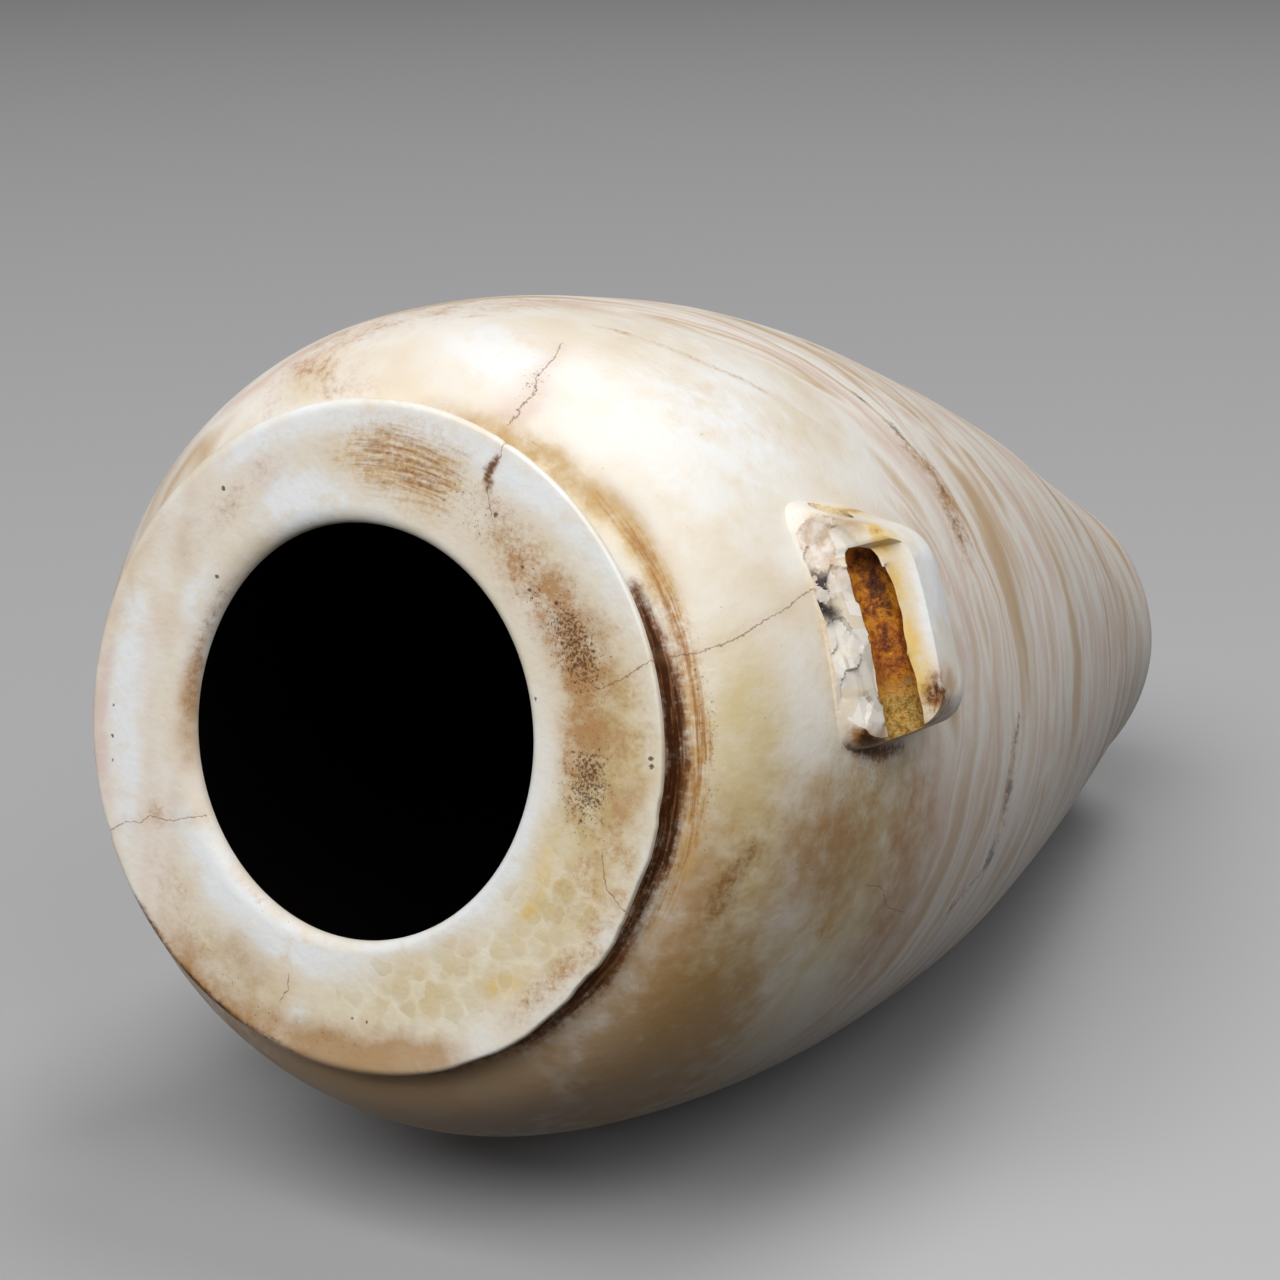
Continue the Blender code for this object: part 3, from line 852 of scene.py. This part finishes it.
# %% [markdown]
# ## Cracks
#
# A hairline crack is a fifth of a millimetre wide, finer than the mesh. So the mesh stores on which
# side of the crack a vertex lies and how far: this signed distance changes evenly across the line,
# and the material can draw it as thinly as it likes where the number crosses nought.

# %% Runs of the cracks
RIM_CRACKS = (((36.3, 21.3), (34.7, 20.6), (33.0, 19.6), (31.0, 19.0), (29.4, 18.2), (28.2, 22.0)),
              ((36, -154.7), (33, -155.3), (31, -154.2), (29.6, -154.9), (27.4, -152.2), (22, -149.3)),
              ((36.0, 66.4), (34.4, 65.8), (32.6, 66.6), (30.7, 65.2), (29.0, 62.0)),
              ((28.0, -104.0), (29.2, -103.4), (30.6, -104.4)),
              ((35.6, -21.0), (32.6, -19.0), (31.0, -14.0)))
BODY_CRACKS = (((4, 21.4), (6.7, 21.2), (9.1, 22), (12.1, 23.4), (15, 24.2), (18, 25.7), (21, 26.5)),
               ((4.4, 70.2), (5.6, 70.8), (6.9, 70.6), (8.4, 72.4), (10.4, 72.8), (14.5, 75.0)),
               ((31.0, -14.3), (35.0, -15.2), (38.5, -18.6), (44.8, -20.6)))
UNROLLED_RADIUS = 30.0
FACE_DEPTH = 0.8
FAR_AWAY = 9.0
print("cracks on the rim and the body:", len(RIM_CRACKS), len(BODY_CRACKS))


# %% Signed distances to the cracks
def signed_distance(points, run):
    """Distance of flat points to a run of straight pieces, negative on its right-hand side."""
    best = np.full(len(points), np.inf)
    side = np.ones(len(points))
    for a, b in zip(run, run[1:]):
        along = b - a
        offset = points - a
        t = np.clip(offset @ along / (along @ along), 0.0, 1.0)
        distance = np.linalg.norm(offset - t[:, None] * along, axis=1)
        closer = distance < best
        best = np.where(closer, distance, best)
        side = np.where(closer, np.sign(along[0] * offset[:, 1] - along[1] * offset[:, 0]), side)
    return best * side


def crack_fields():
    """Signed distance to the nearest crack, on the rim flat and on the body unrolled round its axis."""
    rim_flat = PLACES[:, :2]
    unrolled = np.stack([DEPTHS, np.radians(TURNS) * np.maximum(RADII, UNROLLED_RADIUS)], axis=1)
    nearest = np.full(len(PLACES), FAR_AWAY)
    on_the_rim = DEPTHS < FACE_DEPTH
    for on_face, cracks in ((on_the_rim, RIM_CRACKS), (~on_the_rim, BODY_CRACKS)):
        for crack in cracks:
            if cracks is RIM_CRACKS:
                run = np.array([on_rim(*point)[:2] for point in crack])
                points = rim_flat
            else:
                run = np.array([(depth, np.radians(turn) * max(outside_radius(depth), UNROLLED_RADIUS))
                                for depth, turn in crack])
                points = unrolled
            distance = signed_distance(points, run)
            nearest = np.where(on_face & (np.abs(distance) < np.abs(nearest)), distance, nearest)
    return nearest


crack_side = crack_fields()
store("crack_side", crack_side)
store("crack_near", np.abs(crack_side))

# %% [markdown]
# ## Inside, and round the lugs
#
# The hollow is seen only as dark, so its shade is painted: within a few millimetres behind the throat
# the stone's colour turns nearly black. The seen lug gets its own coordinates, millimetres out, along
# and to the front, because the colours in the bore follow the bore.

# %% Inside attribute for the hollow's painted shade, and lug coordinates
THINNEST_WALL = 3.5
# painted shade: the hollow's depth is stored so that the material can paint it nearly black
hollow_in_painted_shade = (RADII < outside_radius(DEPTHS) - THINNEST_WALL) & (DEPTHS > 0.9)
store("inside", np.where(hollow_in_painted_shade, DEPTHS, 0.0))

origin, axes = lug_axes(SEEN_LUG)
LUG_PLACES = (PLACES - origin) @ axes.T
lug_layer = jar.data.attributes.new("lug_place", "FLOAT_VECTOR", "POINT")
lug_layer.data.foreach_set("vector", LUG_PLACES.astype(np.float32).ravel())
print("attributes:", [layer.name for layer in jar.data.attributes if not layer.name.startswith(".")])

# %% [markdown]
# ## Building a material from nodes
#
# A procedural material is a small sum written as nodes. These helpers keep the sums readable: each
# adds one node to the tree that was opened last, feeds it values or other sockets, and returns the
# output. Colours are written as the eye sees them, 0 to 255, and are turned into linear numbers.

# %% Add nodes
open_trees = []


def shader_of(material):
    """Open the material's node tree for the helpers below, and give its Principled BSDF."""
    material.use_nodes = True
    open_trees.append(material.node_tree)
    return material.node_tree.nodes["Principled BSDF"]


def feed(socket, value):
    """Link a socket, or set it if the value is a plain number or colour."""
    if isinstance(value, bpy.types.NodeSocket):
        socket.id_data.links.new(value, socket)
    else:
        socket.default_value = value


def add(kind, inputs=(), **settings):
    """One node with its settings and inputs."""
    node = open_trees[-1].nodes.new("ShaderNode" + kind)
    for name, value in settings.items():
        setattr(node, name, value)
    for key, value in dict(inputs).items():
        feed(node.inputs[key], value)
    return node


# %% Colours and sums
def srgb(red, green, blue):
    """Linear colour from 0 to 255 values: ((c + 0.055) / 1.055)^2.4, or c / 12.92 when dark."""
    seen = np.array([red, green, blue]) / 255.0
    linear = np.where(seen > 0.04045, ((seen + 0.055) / 1.055) ** 2.4, seen / 12.92)
    return (*linear.tolist(), 1.0)


def calc(operation, first, second=0.0, third=0.0):
    """A Math node."""
    return add("Math", {0: first, 1: second, 2: third}, operation=operation).outputs[0]


def times(first, second):
    """first * second."""
    return calc("MULTIPLY", first, second)


def plus(first, second):
    """first + second."""
    return calc("ADD", first, second)


def from_one(value):
    """1 - value."""
    return calc("SUBTRACT", 1.0, value)


def scaled(value, factor, shift):
    """value * factor + shift."""
    return calc("MULTIPLY_ADD", value, factor, shift)


def between(value, low, high):
    """0 below low, 1 above high and an even curve between them."""
    node = add("MapRange", {"Value": value, "From Min": low, "From Max": high},
               interpolation_type="SMOOTHSTEP")
    return node.outputs["Result"]


def blend(share, low, high, way="MIX"):
    """Mix two colours; one that is written out is a triple from 0 to 255."""
    node = add("Mix", data_type="RGBA", blend_type=way)
    feed(node.inputs[0], share)
    for socket, value in ((node.inputs[6], low), (node.inputs[7], high)):
        feed(socket, srgb(*value) if isinstance(value, tuple) else value)
    return node.outputs[2]


print("the eye's middle grey is", round(srgb(128, 128, 128)[0], 3), "in linear numbers")


# %% Attributes, noise and places
def attribute(name):
    """A number that is stored on the mesh."""
    return add("Attribute", attribute_name=name).outputs["Fac"]


def noise(place, size, detail=3.0, rough=0.55):
    """Noise whose blobs are about size millimetres across, from 0 to 1."""
    return add("TexNoise", {"Vector": place, "Scale": 1.0 / size, "Detail": detail,
                            "Roughness": rough}).outputs["Fac"]


def centred(value, height):
    """A noise turned into plus or minus half the height."""
    return scaled(value, height, -height / 2)


def ramp(value, stops):
    """Colour ramp from (position, 0 to 255 colour) stops."""
    node = add("ValToRGB", {"Fac": value})
    stopping = node.color_ramp.elements
    while len(stopping) < len(stops):
        stopping.new(0.5)
    for element, (position, colour) in zip(stopping, stops):
        element.position = position
        element.color = srgb(*colour)
    return node.outputs["Color"]


# %% Places
def jar_place():
    """Object coordinates turned into jar millimetres by a Mapping node."""
    turn = Matrix(JAR_AXES.T.tolist()).to_euler()
    settings = {"Vector": add("TexCoord").outputs["Object"], "Location": tuple(MOUTH_CENTRE),
                "Rotation": tuple(turn), "Scale": (MM, MM, MM)}
    return add("Mapping", settings, vector_type="TEXTURE").outputs["Vector"]


def split(place):
    """The three numbers of a place."""
    outputs = add("SeparateXYZ", {"Vector": place}).outputs
    return outputs["X"], outputs["Y"], outputs["Z"]


def joined(x, y, z=0.0):
    """A place from three numbers."""
    return add("CombineXYZ", {"X": x, "Y": y, "Z": z}).outputs["Vector"]


# %% The share of a stroke's colour
def stained(name, texture, low, high, strength=1.0):
    """Share of a stroke's colour: its field times a noise, from nothing at low to full at high."""
    share = between(times(attribute(name), texture), low, high)
    return times(share, strength)


# %% [markdown]
# ## Banded calcite
#
# The stone is pale: a milky front layer, cream and beige bands with thin tan lines behind it, honey
# coloured crystals in the lower rim. Over that lie the marks of age and painted light: a brown patina
# that also paints shade on the underside, the lower edges and in the groove, ochre and umber stains that
# follow the groove, where the umber also paints the rim's shadow, a painted glow where light shines
# through thin stone, rubbed dirt with black specks, and hairline cracks. Each is one more blend, from
# the broadest to the finest.

# %% The stone's own colours
def stretched(height, place, across, along):
    """A place whose first number grows by one in so many millimetres up the layers."""
    x, y, _ = split(place)
    return joined(calc("DIVIDE", height, across), calc("DIVIDE", x, along), calc("DIVIDE", y, along))


def band_colours(place, level, cloud):
    """Bands are noise that changes quickly up the layers and slowly along them, and the layers sway."""
    sway = noise(place, 6.0, 1.0, 0.5)
    height = plus(level, plus(centred(cloud, 5.0), centred(sway, 3.5)))
    bands = noise(stretched(height, place, 12.0, 40.0), 1.0, 1.0, 0.5)
    colour = ramp(bands, ((0.30, (212, 186, 152)), (0.38, (232, 214, 194)), (0.44, (246, 240, 230)),
                          (0.50, (234, 212, 198)), (0.56, (246, 239, 228)), (0.62, (216, 190, 158)),
                          (0.72, (247, 242, 234))))
    thin = noise(stretched(height, place, 4.6, 20.0), 1.0, 0.5)
    colour = blend(times(between(thin, 0.50, 0.80), 0.4), colour, (200, 164, 132))
    return blend(times(between(thin, 0.48, 0.26), 0.6), colour, (248, 243, 235))


def own_colour(place):
    """Milky front layer and bands, with honey, pinkish and milky clouds."""
    cloud = noise(place, 13.0, 2.0, 0.6)
    wisp = noise(place, 3.0, 4.0, 0.62)
    mottled = plus(cloud, centred(wisp, 0.2))
    front = ramp(mottled, ((0.30, (230, 216, 192)), (0.46, (236, 226, 210)), (0.62, (240, 236, 228))))
    zone = between(plus(attribute("banded"), centred(wisp, 8.0)), -3.0, 5.0)
    bands = band_colours(place, attribute("level"), cloud)
    colour = blend(zone, front, bands)
    soft = calc("MAXIMUM", scaled(wisp, 3.6, -0.8), 0.0)
    colour = blend(stained("blush", soft, 0.1, 1.0, 0.8), colour, (228, 206, 196))
    # milky is the stone's milky white, and in places a painted highlight on the lip and painted light on
    # the lug's crown
    colour = blend(stained("milky", soft, 0.05, 0.8, 0.85), colour, (242, 245, 247))
    return colour, wisp, soft


# %% Honey-coloured crystals
GRAIN_SIZE = 1.9


def honey_colour(colour, place, wisp):
    """A honey tint, and on the rim the grains of the crystal: a tone for each and pale edges round it.
    The second result is their height for the bump."""
    shifted = add("VectorMath", {0: joined(wisp, wisp), 1: (1.6, -1.6, 0.0), 2: place},
                  operation="MULTIPLY_ADD").outputs["Vector"]
    cells = add("TexVoronoi", {"Vector": shifted, "Scale": 1.0 / GRAIN_SIZE})
    grey = add("SeparateColor", {"Color": cells.outputs["Color"]}).outputs["Red"]
    calm = scaled(wisp, 1.8, 0.1)
    colour = blend(stained("honey", calm, 0.0, 1.0, 0.85), colour, (216, 196, 142))
    grains = stained("grains", scaled(grey, 1.2, 0.3), 0.15, 1.1, 0.6)
    tone = ramp(grey, ((0.0, (190, 162, 108)), (0.45, (218, 194, 142)), (0.75, (238, 230, 208)),
                       (1.0, (204, 182, 134))))
    colour = blend(grains, colour, tone)
    field = attribute("grains")
    rims = times(between(cells.outputs["Distance"], 0.52, 0.8), field)
    colour = blend(times(rims, 0.45), colour, (244, 236, 216))
    return colour, times(cells.outputs["Distance"], field)


# %% Stains and painted light
def streaks(place):
    """Fine lines that run round the jar: noise squeezed across them and stretched along them."""
    x, y, z = split(place)
    turn = calc("ARCTAN2", y, x)
    reach = calc("SQRT", plus(times(x, x), times(y, y)))
    flat = joined(times(reach, 2.3), times(turn, 6.0), times(z, 2.3))
    return noise(flat, 1.0, 3.0, 0.65)


# Layers of stain and of painted light: the patina, tan and umber layers also paint shade, and glow
# paints light shining through thin stone.
STAIN_AND_PAINTED_LIGHT_LAYERS = (("patina_and_painted_shade", "calm", 0.0, 1.3, 1.0, (206, 178, 146)),
                ("tan", "cloudy", 0.04, 1.0, 0.9, (186, 140, 92)),
                # painted light: the glow of light through thin stone
                ("glow", "soft", 0.0, 0.9, 0.85, (232, 192, 90)),
                ("ochre", "cloudy", 0.0, 1.2, 0.65, (212, 172, 100)),
                ("ochre", "lined", 0.3, 1.4, 0.85, (160, 100, 34)),
                ("umber", "cloudy", 0.02, 0.8, 0.85, (142, 84, 28)),
                ("umber", "lined", 0.08, 1.05, 0.92, (60, 27, 4)),
                ("veins", "cloudy", 0.2, 0.9, 0.8, (110, 88, 80)))
print("layers of stain:", len(STAIN_AND_PAINTED_LIGHT_LAYERS))


def stain_and_painted_light_colour(colour, place, soft):
    """Each layer of STAIN_AND_PAINTED_LIGHT_LAYERS in turn: (stroke, texture, low, high, strength, colour)."""
    lines = streaks(place)
    grain = noise(place, 0.7, 3.0, 0.7)
    cloudy = times(soft, scaled(grain, 3.0, -0.5))
    lined = times(scaled(lines, 3.4, -0.7), scaled(grain, 1.0, 0.5))
    textures = {"soft": soft, "calm": scaled(soft, 0.5, 0.5), "cloudy": cloudy, "lined": lined}
    for name, texture, low, high, strength, tint in STAIN_AND_PAINTED_LIGHT_LAYERS:
        way = "MULTIPLY" if name == "patina_and_painted_shade" else "MIX"
        colour = blend(stained(name, textures[texture], low, high, strength), colour, tint, way)
    return colour, grain


# %% Specks, named spots and cracks
RIM_SPOTS = ((31.7, 129.6, 0.35), (25.1, 143.8, 0.45), (22.9, 152, 0.3), (22.7, 172.6, 0.4),
             (32.8, -178, 0.25), (32.9, -172.2, 0.25), (33.2, -167.4, 0.25), (29.7, 146, 0.18),
             (34.9, 4, 0.4), (34.8, 5.4, 0.4), (30, -86.8, 0.25), (30.2, -83.2, 0.25), (29.2, 61, 0.45),
             (22, 19.3, 0.2), (27.2, 49, 0.3), (28.2, 38, 0.4), (28.6, 24, 0.35), (29.1, -4, 0.35),
             (27.6, -9, 0.3), (26.4, 44, 0.35))
print("dots on the rim:", len(RIM_SPOTS))


def spot_share(place, grain):
    """The dots that stand alone: nearness to each named place, less its size, shaken by the grain."""
    nearest = FAR_AWAY
    for radius, turn, size in RIM_SPOTS:
        away = add("VectorMath", {0: place, 1: on_rim(radius, turn)}, operation="DISTANCE")
        nearest = calc("MINIMUM", nearest, calc("SUBTRACT", away.outputs["Value"], 0.62 * size))
    shaken = plus(nearest, centred(grain, 0.9))
    return from_one(between(shaken, -0.08, 0.08))


def speck_share(place, grain):
    """Dirt in the pores: a fine noise, cut off at a height that comes down where the strokes are."""
    fine = noise(place, 0.34, 2.0, 0.75)
    level = plus(scaled(attribute("specks"), 0.22, fine), centred(grain, 0.5))
    return between(level, 0.70, 0.92)


def crack_share(grain):
    """A thin line where the signed distance, shaken by noise, crosses nought, and a halo round it."""
    shaken = plus(attribute("crack_side"), centred(grain, 0.8))
    line = from_one(between(calc("ABSOLUTE", shaken), 0.02, 0.10))
    close = from_one(between(attribute("crack_near"), 0.4, 0.8))
    halo = from_one(between(attribute("crack_near"), 0.0, 1.3))
    return times(line, close), halo


# %% Put the stone together
def finish(shader, colour, roughness, height, depth_mm, **others):
    """Feed the shader; a height between 0 and 1 tilts the normal by depth_mm millimetres."""
    tilted = add("Bump", {"Height": height, "Distance": depth_mm * MM}).outputs["Normal"]
    settings = {"Base Color": colour, "Roughness": roughness, "Normal": tilted}
    for name, value in others.items():
        settings[name.replace("_", " ")] = value
    for name, value in settings.items():
        feed(shader.inputs[name], value)


def make_stone(material):
    """Banded calcite with its stains, painted shade and painted glow, specks, cracks and the hollow
    painted dark as shade.
    """
    shader = shader_of(material)
    place = jar_place()
    colour, wisp, soft = own_colour(place)
    colour, facets = honey_colour(colour, place, wisp)
    colour, grain = stain_and_painted_light_colour(colour, place, soft)
    line, halo = crack_share(grain)
    dots = calc("MAXIMUM", speck_share(place, grain), spot_share(place, grain))
    colour = blend(times(halo, 0.15), colour, (200, 160, 120))
    colour = blend(times(dots, 0.85), colour, (76, 46, 26))
    colour = blend(times(line, 0.7), colour, (126, 84, 58))
    # painted shade: the hollow turns nearly black behind the throat
    dark = between(attribute("inside"), 1.2, 6.0)
    colour = blend(dark, colour, (14, 9, 7))
    finish(shader, colour, scaled(wisp, 0.25, 0.33), scaled(facets, -1.0, noise(place, 1.2, 2.0)), 0.07,
           Specular_IOR_Level=scaled(attribute("umber"), -0.25, 0.32), IOR=1.5,
           Subsurface_Weight=0.15, Subsurface_Radius=(1.0, 0.75, 0.5), Subsurface_Scale=0.003)


make_stone(STONE)
print("stone nodes:", len(STONE.node_tree.nodes))

# %% [markdown]
# ## Broken calcite and the stained bore
#
# Where the lug broke, the stone is raw: chalk white, glassy on the flat facets, with cream patches and
# black dirt in the upper part. The bore is amber in front, nearly black at the back of its upper half,
# and yellow and crumbly at the lower end.

# %% Crystal grains and places on the lug
def crystal_cells(place, size):
    """Angular grains: the random number of each Voronoi cell and a tilt across it for the bump."""
    cells = add("TexVoronoi", {"Vector": place, "Scale": 1.0 / size})
    offset = add("VectorMath", {0: place, 1: cells.outputs["Position"]}, operation="SUBTRACT")
    tilt = add("VectorMath", {0: offset.outputs["Vector"], 1: cells.outputs["Color"]},
               operation="DOT_PRODUCT").outputs["Value"]
    return add("SeparateColor", {"Color": cells.outputs["Color"]}).outputs["Red"], tilt


def lug_place():
    """Place on the seen lug from the mesh, and its millimetres along it and to the front."""
    place = add("Attribute", attribute_name="lug_place").outputs["Vector"]
    return place, *split(place)[1:]


# %% The raw break
def make_broken(material):
    """White facets with cream and grey patches and dirt near the upper end."""
    shader = shader_of(material)
    place, along, front = lug_place()
    grey, tilt = crystal_cells(place, 2.2)
    wisp = noise(place, 1.4, 4.0, 0.65)
    colour = ramp(grey, ((0.0, (204, 196, 184)), (0.4, (220, 214, 206)), (0.8, (228, 222, 212)),
                         (1.0, (210, 196, 172))))
    upper = between(plus(along, centred(wisp, 6.0)), 3.0, 7.0)
    rough = ramp(wisp, ((0.36, (204, 178, 152)), (0.50, (228, 208, 188)), (0.62, (240, 230, 218))))
    colour = blend(times(upper, 0.9), colour, rough)
    foot = between(plus(along, centred(wisp, 3.0)), -9.2, -10.8)
    colour = blend(times(foot, 0.85), colour, (150, 122, 94))
    # painted glow: the ring above the channel is tinted yellow, partly the stone's tint and partly light
    # shining through the thin ring
    ring = times(between(along, 6.2, 8.0), between(calc("SUBTRACT", 5.6, front), 0.0, 2.0))
    colour = blend(times(ring, 0.8), colour, (244, 206, 120))
    patch = from_one(between(calc("ABSOLUTE", calc("SUBTRACT", along, 4.4)), 1.6, 4.0))
    edge = between(plus(front, centred(wisp, 2.0)), 5.6, 6.8)
    dirt = times(times(patch, edge), between(noise(place, 2.0, 4.0, 0.65), 0.45, 0.48))
    colour = blend(dirt, colour, (50, 36, 30))
    finish(shader, colour, 0.42, plus(times(tilt, 0.2), times(wisp, 0.5)), 0.2,
           Subsurface_Weight=0.2, Subsurface_Radius=(1.0, 0.9, 0.8), Subsurface_Scale=0.002)


make_broken(BROKEN)
print("nodes of the break:", len(BROKEN.node_tree.nodes))


# %% The stained bore
def make_stained(material):
    """Amber that turns to black across the bore, and to crumbly yellow at the lower end."""
    shader = shader_of(material)
    place, along, front = lug_place()
    wisp = noise(place, 1.5, 5.0, 0.7)
    grain = noise(place, 0.5, 4.0, 0.7)
    tone = plus(plus(wisp, centred(grain, 0.4)), times(front, -0.03))
    colour = ramp(tone, ((0.28, (236, 178, 50)), (0.44, (206, 128, 22)), (0.57, (146, 72, 10)),
                         (0.68, (84, 38, 10))))
    back = between(calc("SUBTRACT", plus(1.0, centred(wisp, 2.4)), front), 0.0, 1.2)
    black = times(back, between(plus(along, centred(wisp, 5.0)), 0.5, 3.0))
    colour = blend(times(black, 0.85), colour, (40, 18, 10))
    lower = between(calc("SUBTRACT", centred(wisp, 5.0), along), 4.5, 8.0)
    crumbs = ramp(grain, ((0.38, (120, 84, 28)), (0.5, (196, 160, 66)), (0.62, (222, 200, 130))))
    colour = blend(times(lower, 0.75), colour, crumbs)
    colour = blend(between(along, 8.6, 9.6), colour, (226, 204, 160))
    finish(shader, colour, 0.38, plus(wisp, grain), 0.35)


make_stained(STAINED)
print("nodes of the bore:", len(STAINED.node_tree.nodes))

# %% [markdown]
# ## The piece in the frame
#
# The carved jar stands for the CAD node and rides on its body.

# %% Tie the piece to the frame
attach(jar, "root")
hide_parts(JAR_NODE)
print(jar.name, "replaces", JAR_NODE)

# %% [markdown]
# ## Floor, light and camera
#
# The jar lies on a plain pale floor. The brightness of sixty places on the stone in the photo, read
# against the way in which each place faces, gave rough directions for the light. The lamps were then
# moved and dimmed until the light matched the photo: a large soft one high in front, a weaker one high
# behind, a little from the left for the rim and a small near lamp on the right, which lights the belly
# and the lug more than the tail. The room is nearly dark, so the underside stays dim.

# %% Floor
FLOOR_HALF = 5.0
floor_mesh = bpy.data.meshes.new("floor")
floor_corners = FLOOR_HALF * np.array([(-1, -1, 0), (1, -1, 0), (1, 1, 0), (-1, 1, 0)])
floor_mesh.from_pydata(floor_corners.tolist(), [], [(0, 1, 2, 3)])
floor = bpy.data.objects.new("floor", floor_mesh)
bpy.context.scene.collection.objects.link(floor)
floor_paint = bpy.data.materials.new("pale_floor")
floor_shader = shader_of(floor_paint)
floor_shader.inputs["Base Color"].default_value = (0.46, 0.46, 0.47, 1.0)
floor_shader.inputs["Roughness"].default_value = 0.7
floor_mesh.materials.append(floor_paint)
floor.visible_diffuse = False
print("floor of", 2 * FLOOR_HALF, "m")

# %% Lights
JAR_MIDDLE = (0.0, 0.0, 0.05)


def soft_light(name, place, target, size, power):
    """A square area light that looks at a target."""
    light = bpy.data.lights.new(name, "AREA")
    light.size = size
    light.energy = power
    lamp = bpy.data.objects.new(name, light)
    lamp.location = place
    lamp.rotation_euler = (Vector(target) - Vector(place)).to_track_quat("-Z", "Y").to_euler()
    bpy.context.scene.collection.objects.link(lamp)
    print("lamp", name, "of", power, "W")


soft_light("key", (0.0, -2.05, 2.4), JAR_MIDDLE, 2.1, 72.0)
soft_light("back", (0.35, 0.95, 2.4), JAR_MIDDLE, 1.3, 26.0)
soft_light("front", (-2.2, -1.7, 0.5), JAR_MIDDLE, 1.0, 10.0)
soft_light("right", (0.38, -0.30, 0.38), (0.02, -0.03, 0.06), 0.3, 1.12)
world = bpy.data.worlds.new("studio")
bpy.context.scene.world = world
world.use_nodes = True
room = world.node_tree.nodes["Background"]
room.inputs["Color"].default_value = (1.0, 0.92, 0.84, 1.0)
room.inputs["Strength"].default_value = 0.012
bpy.context.scene.view_settings.view_transform = "Standard"

# %% Camera
CAMERA_PLACE = (0.17692, -0.35391, 0.16049)
CAMERA_FORWARD = (-0.4662, 0.8406, -0.2758)
LENS_MM = 87.19
SENSOR_MM = 36.0
camera_data = bpy.data.cameras.new("camera")
camera_data.lens = LENS_MM
camera_data.sensor_width = SENSOR_MM
camera = bpy.data.objects.new("camera", camera_data)
camera.location = CAMERA_PLACE
camera.rotation_euler = Vector(CAMERA_FORWARD).to_track_quat("-Z", "Y").to_euler()
bpy.context.scene.collection.objects.link(camera)
bpy.context.scene.camera = camera
print("camera with a lens of", LENS_MM, "mm")
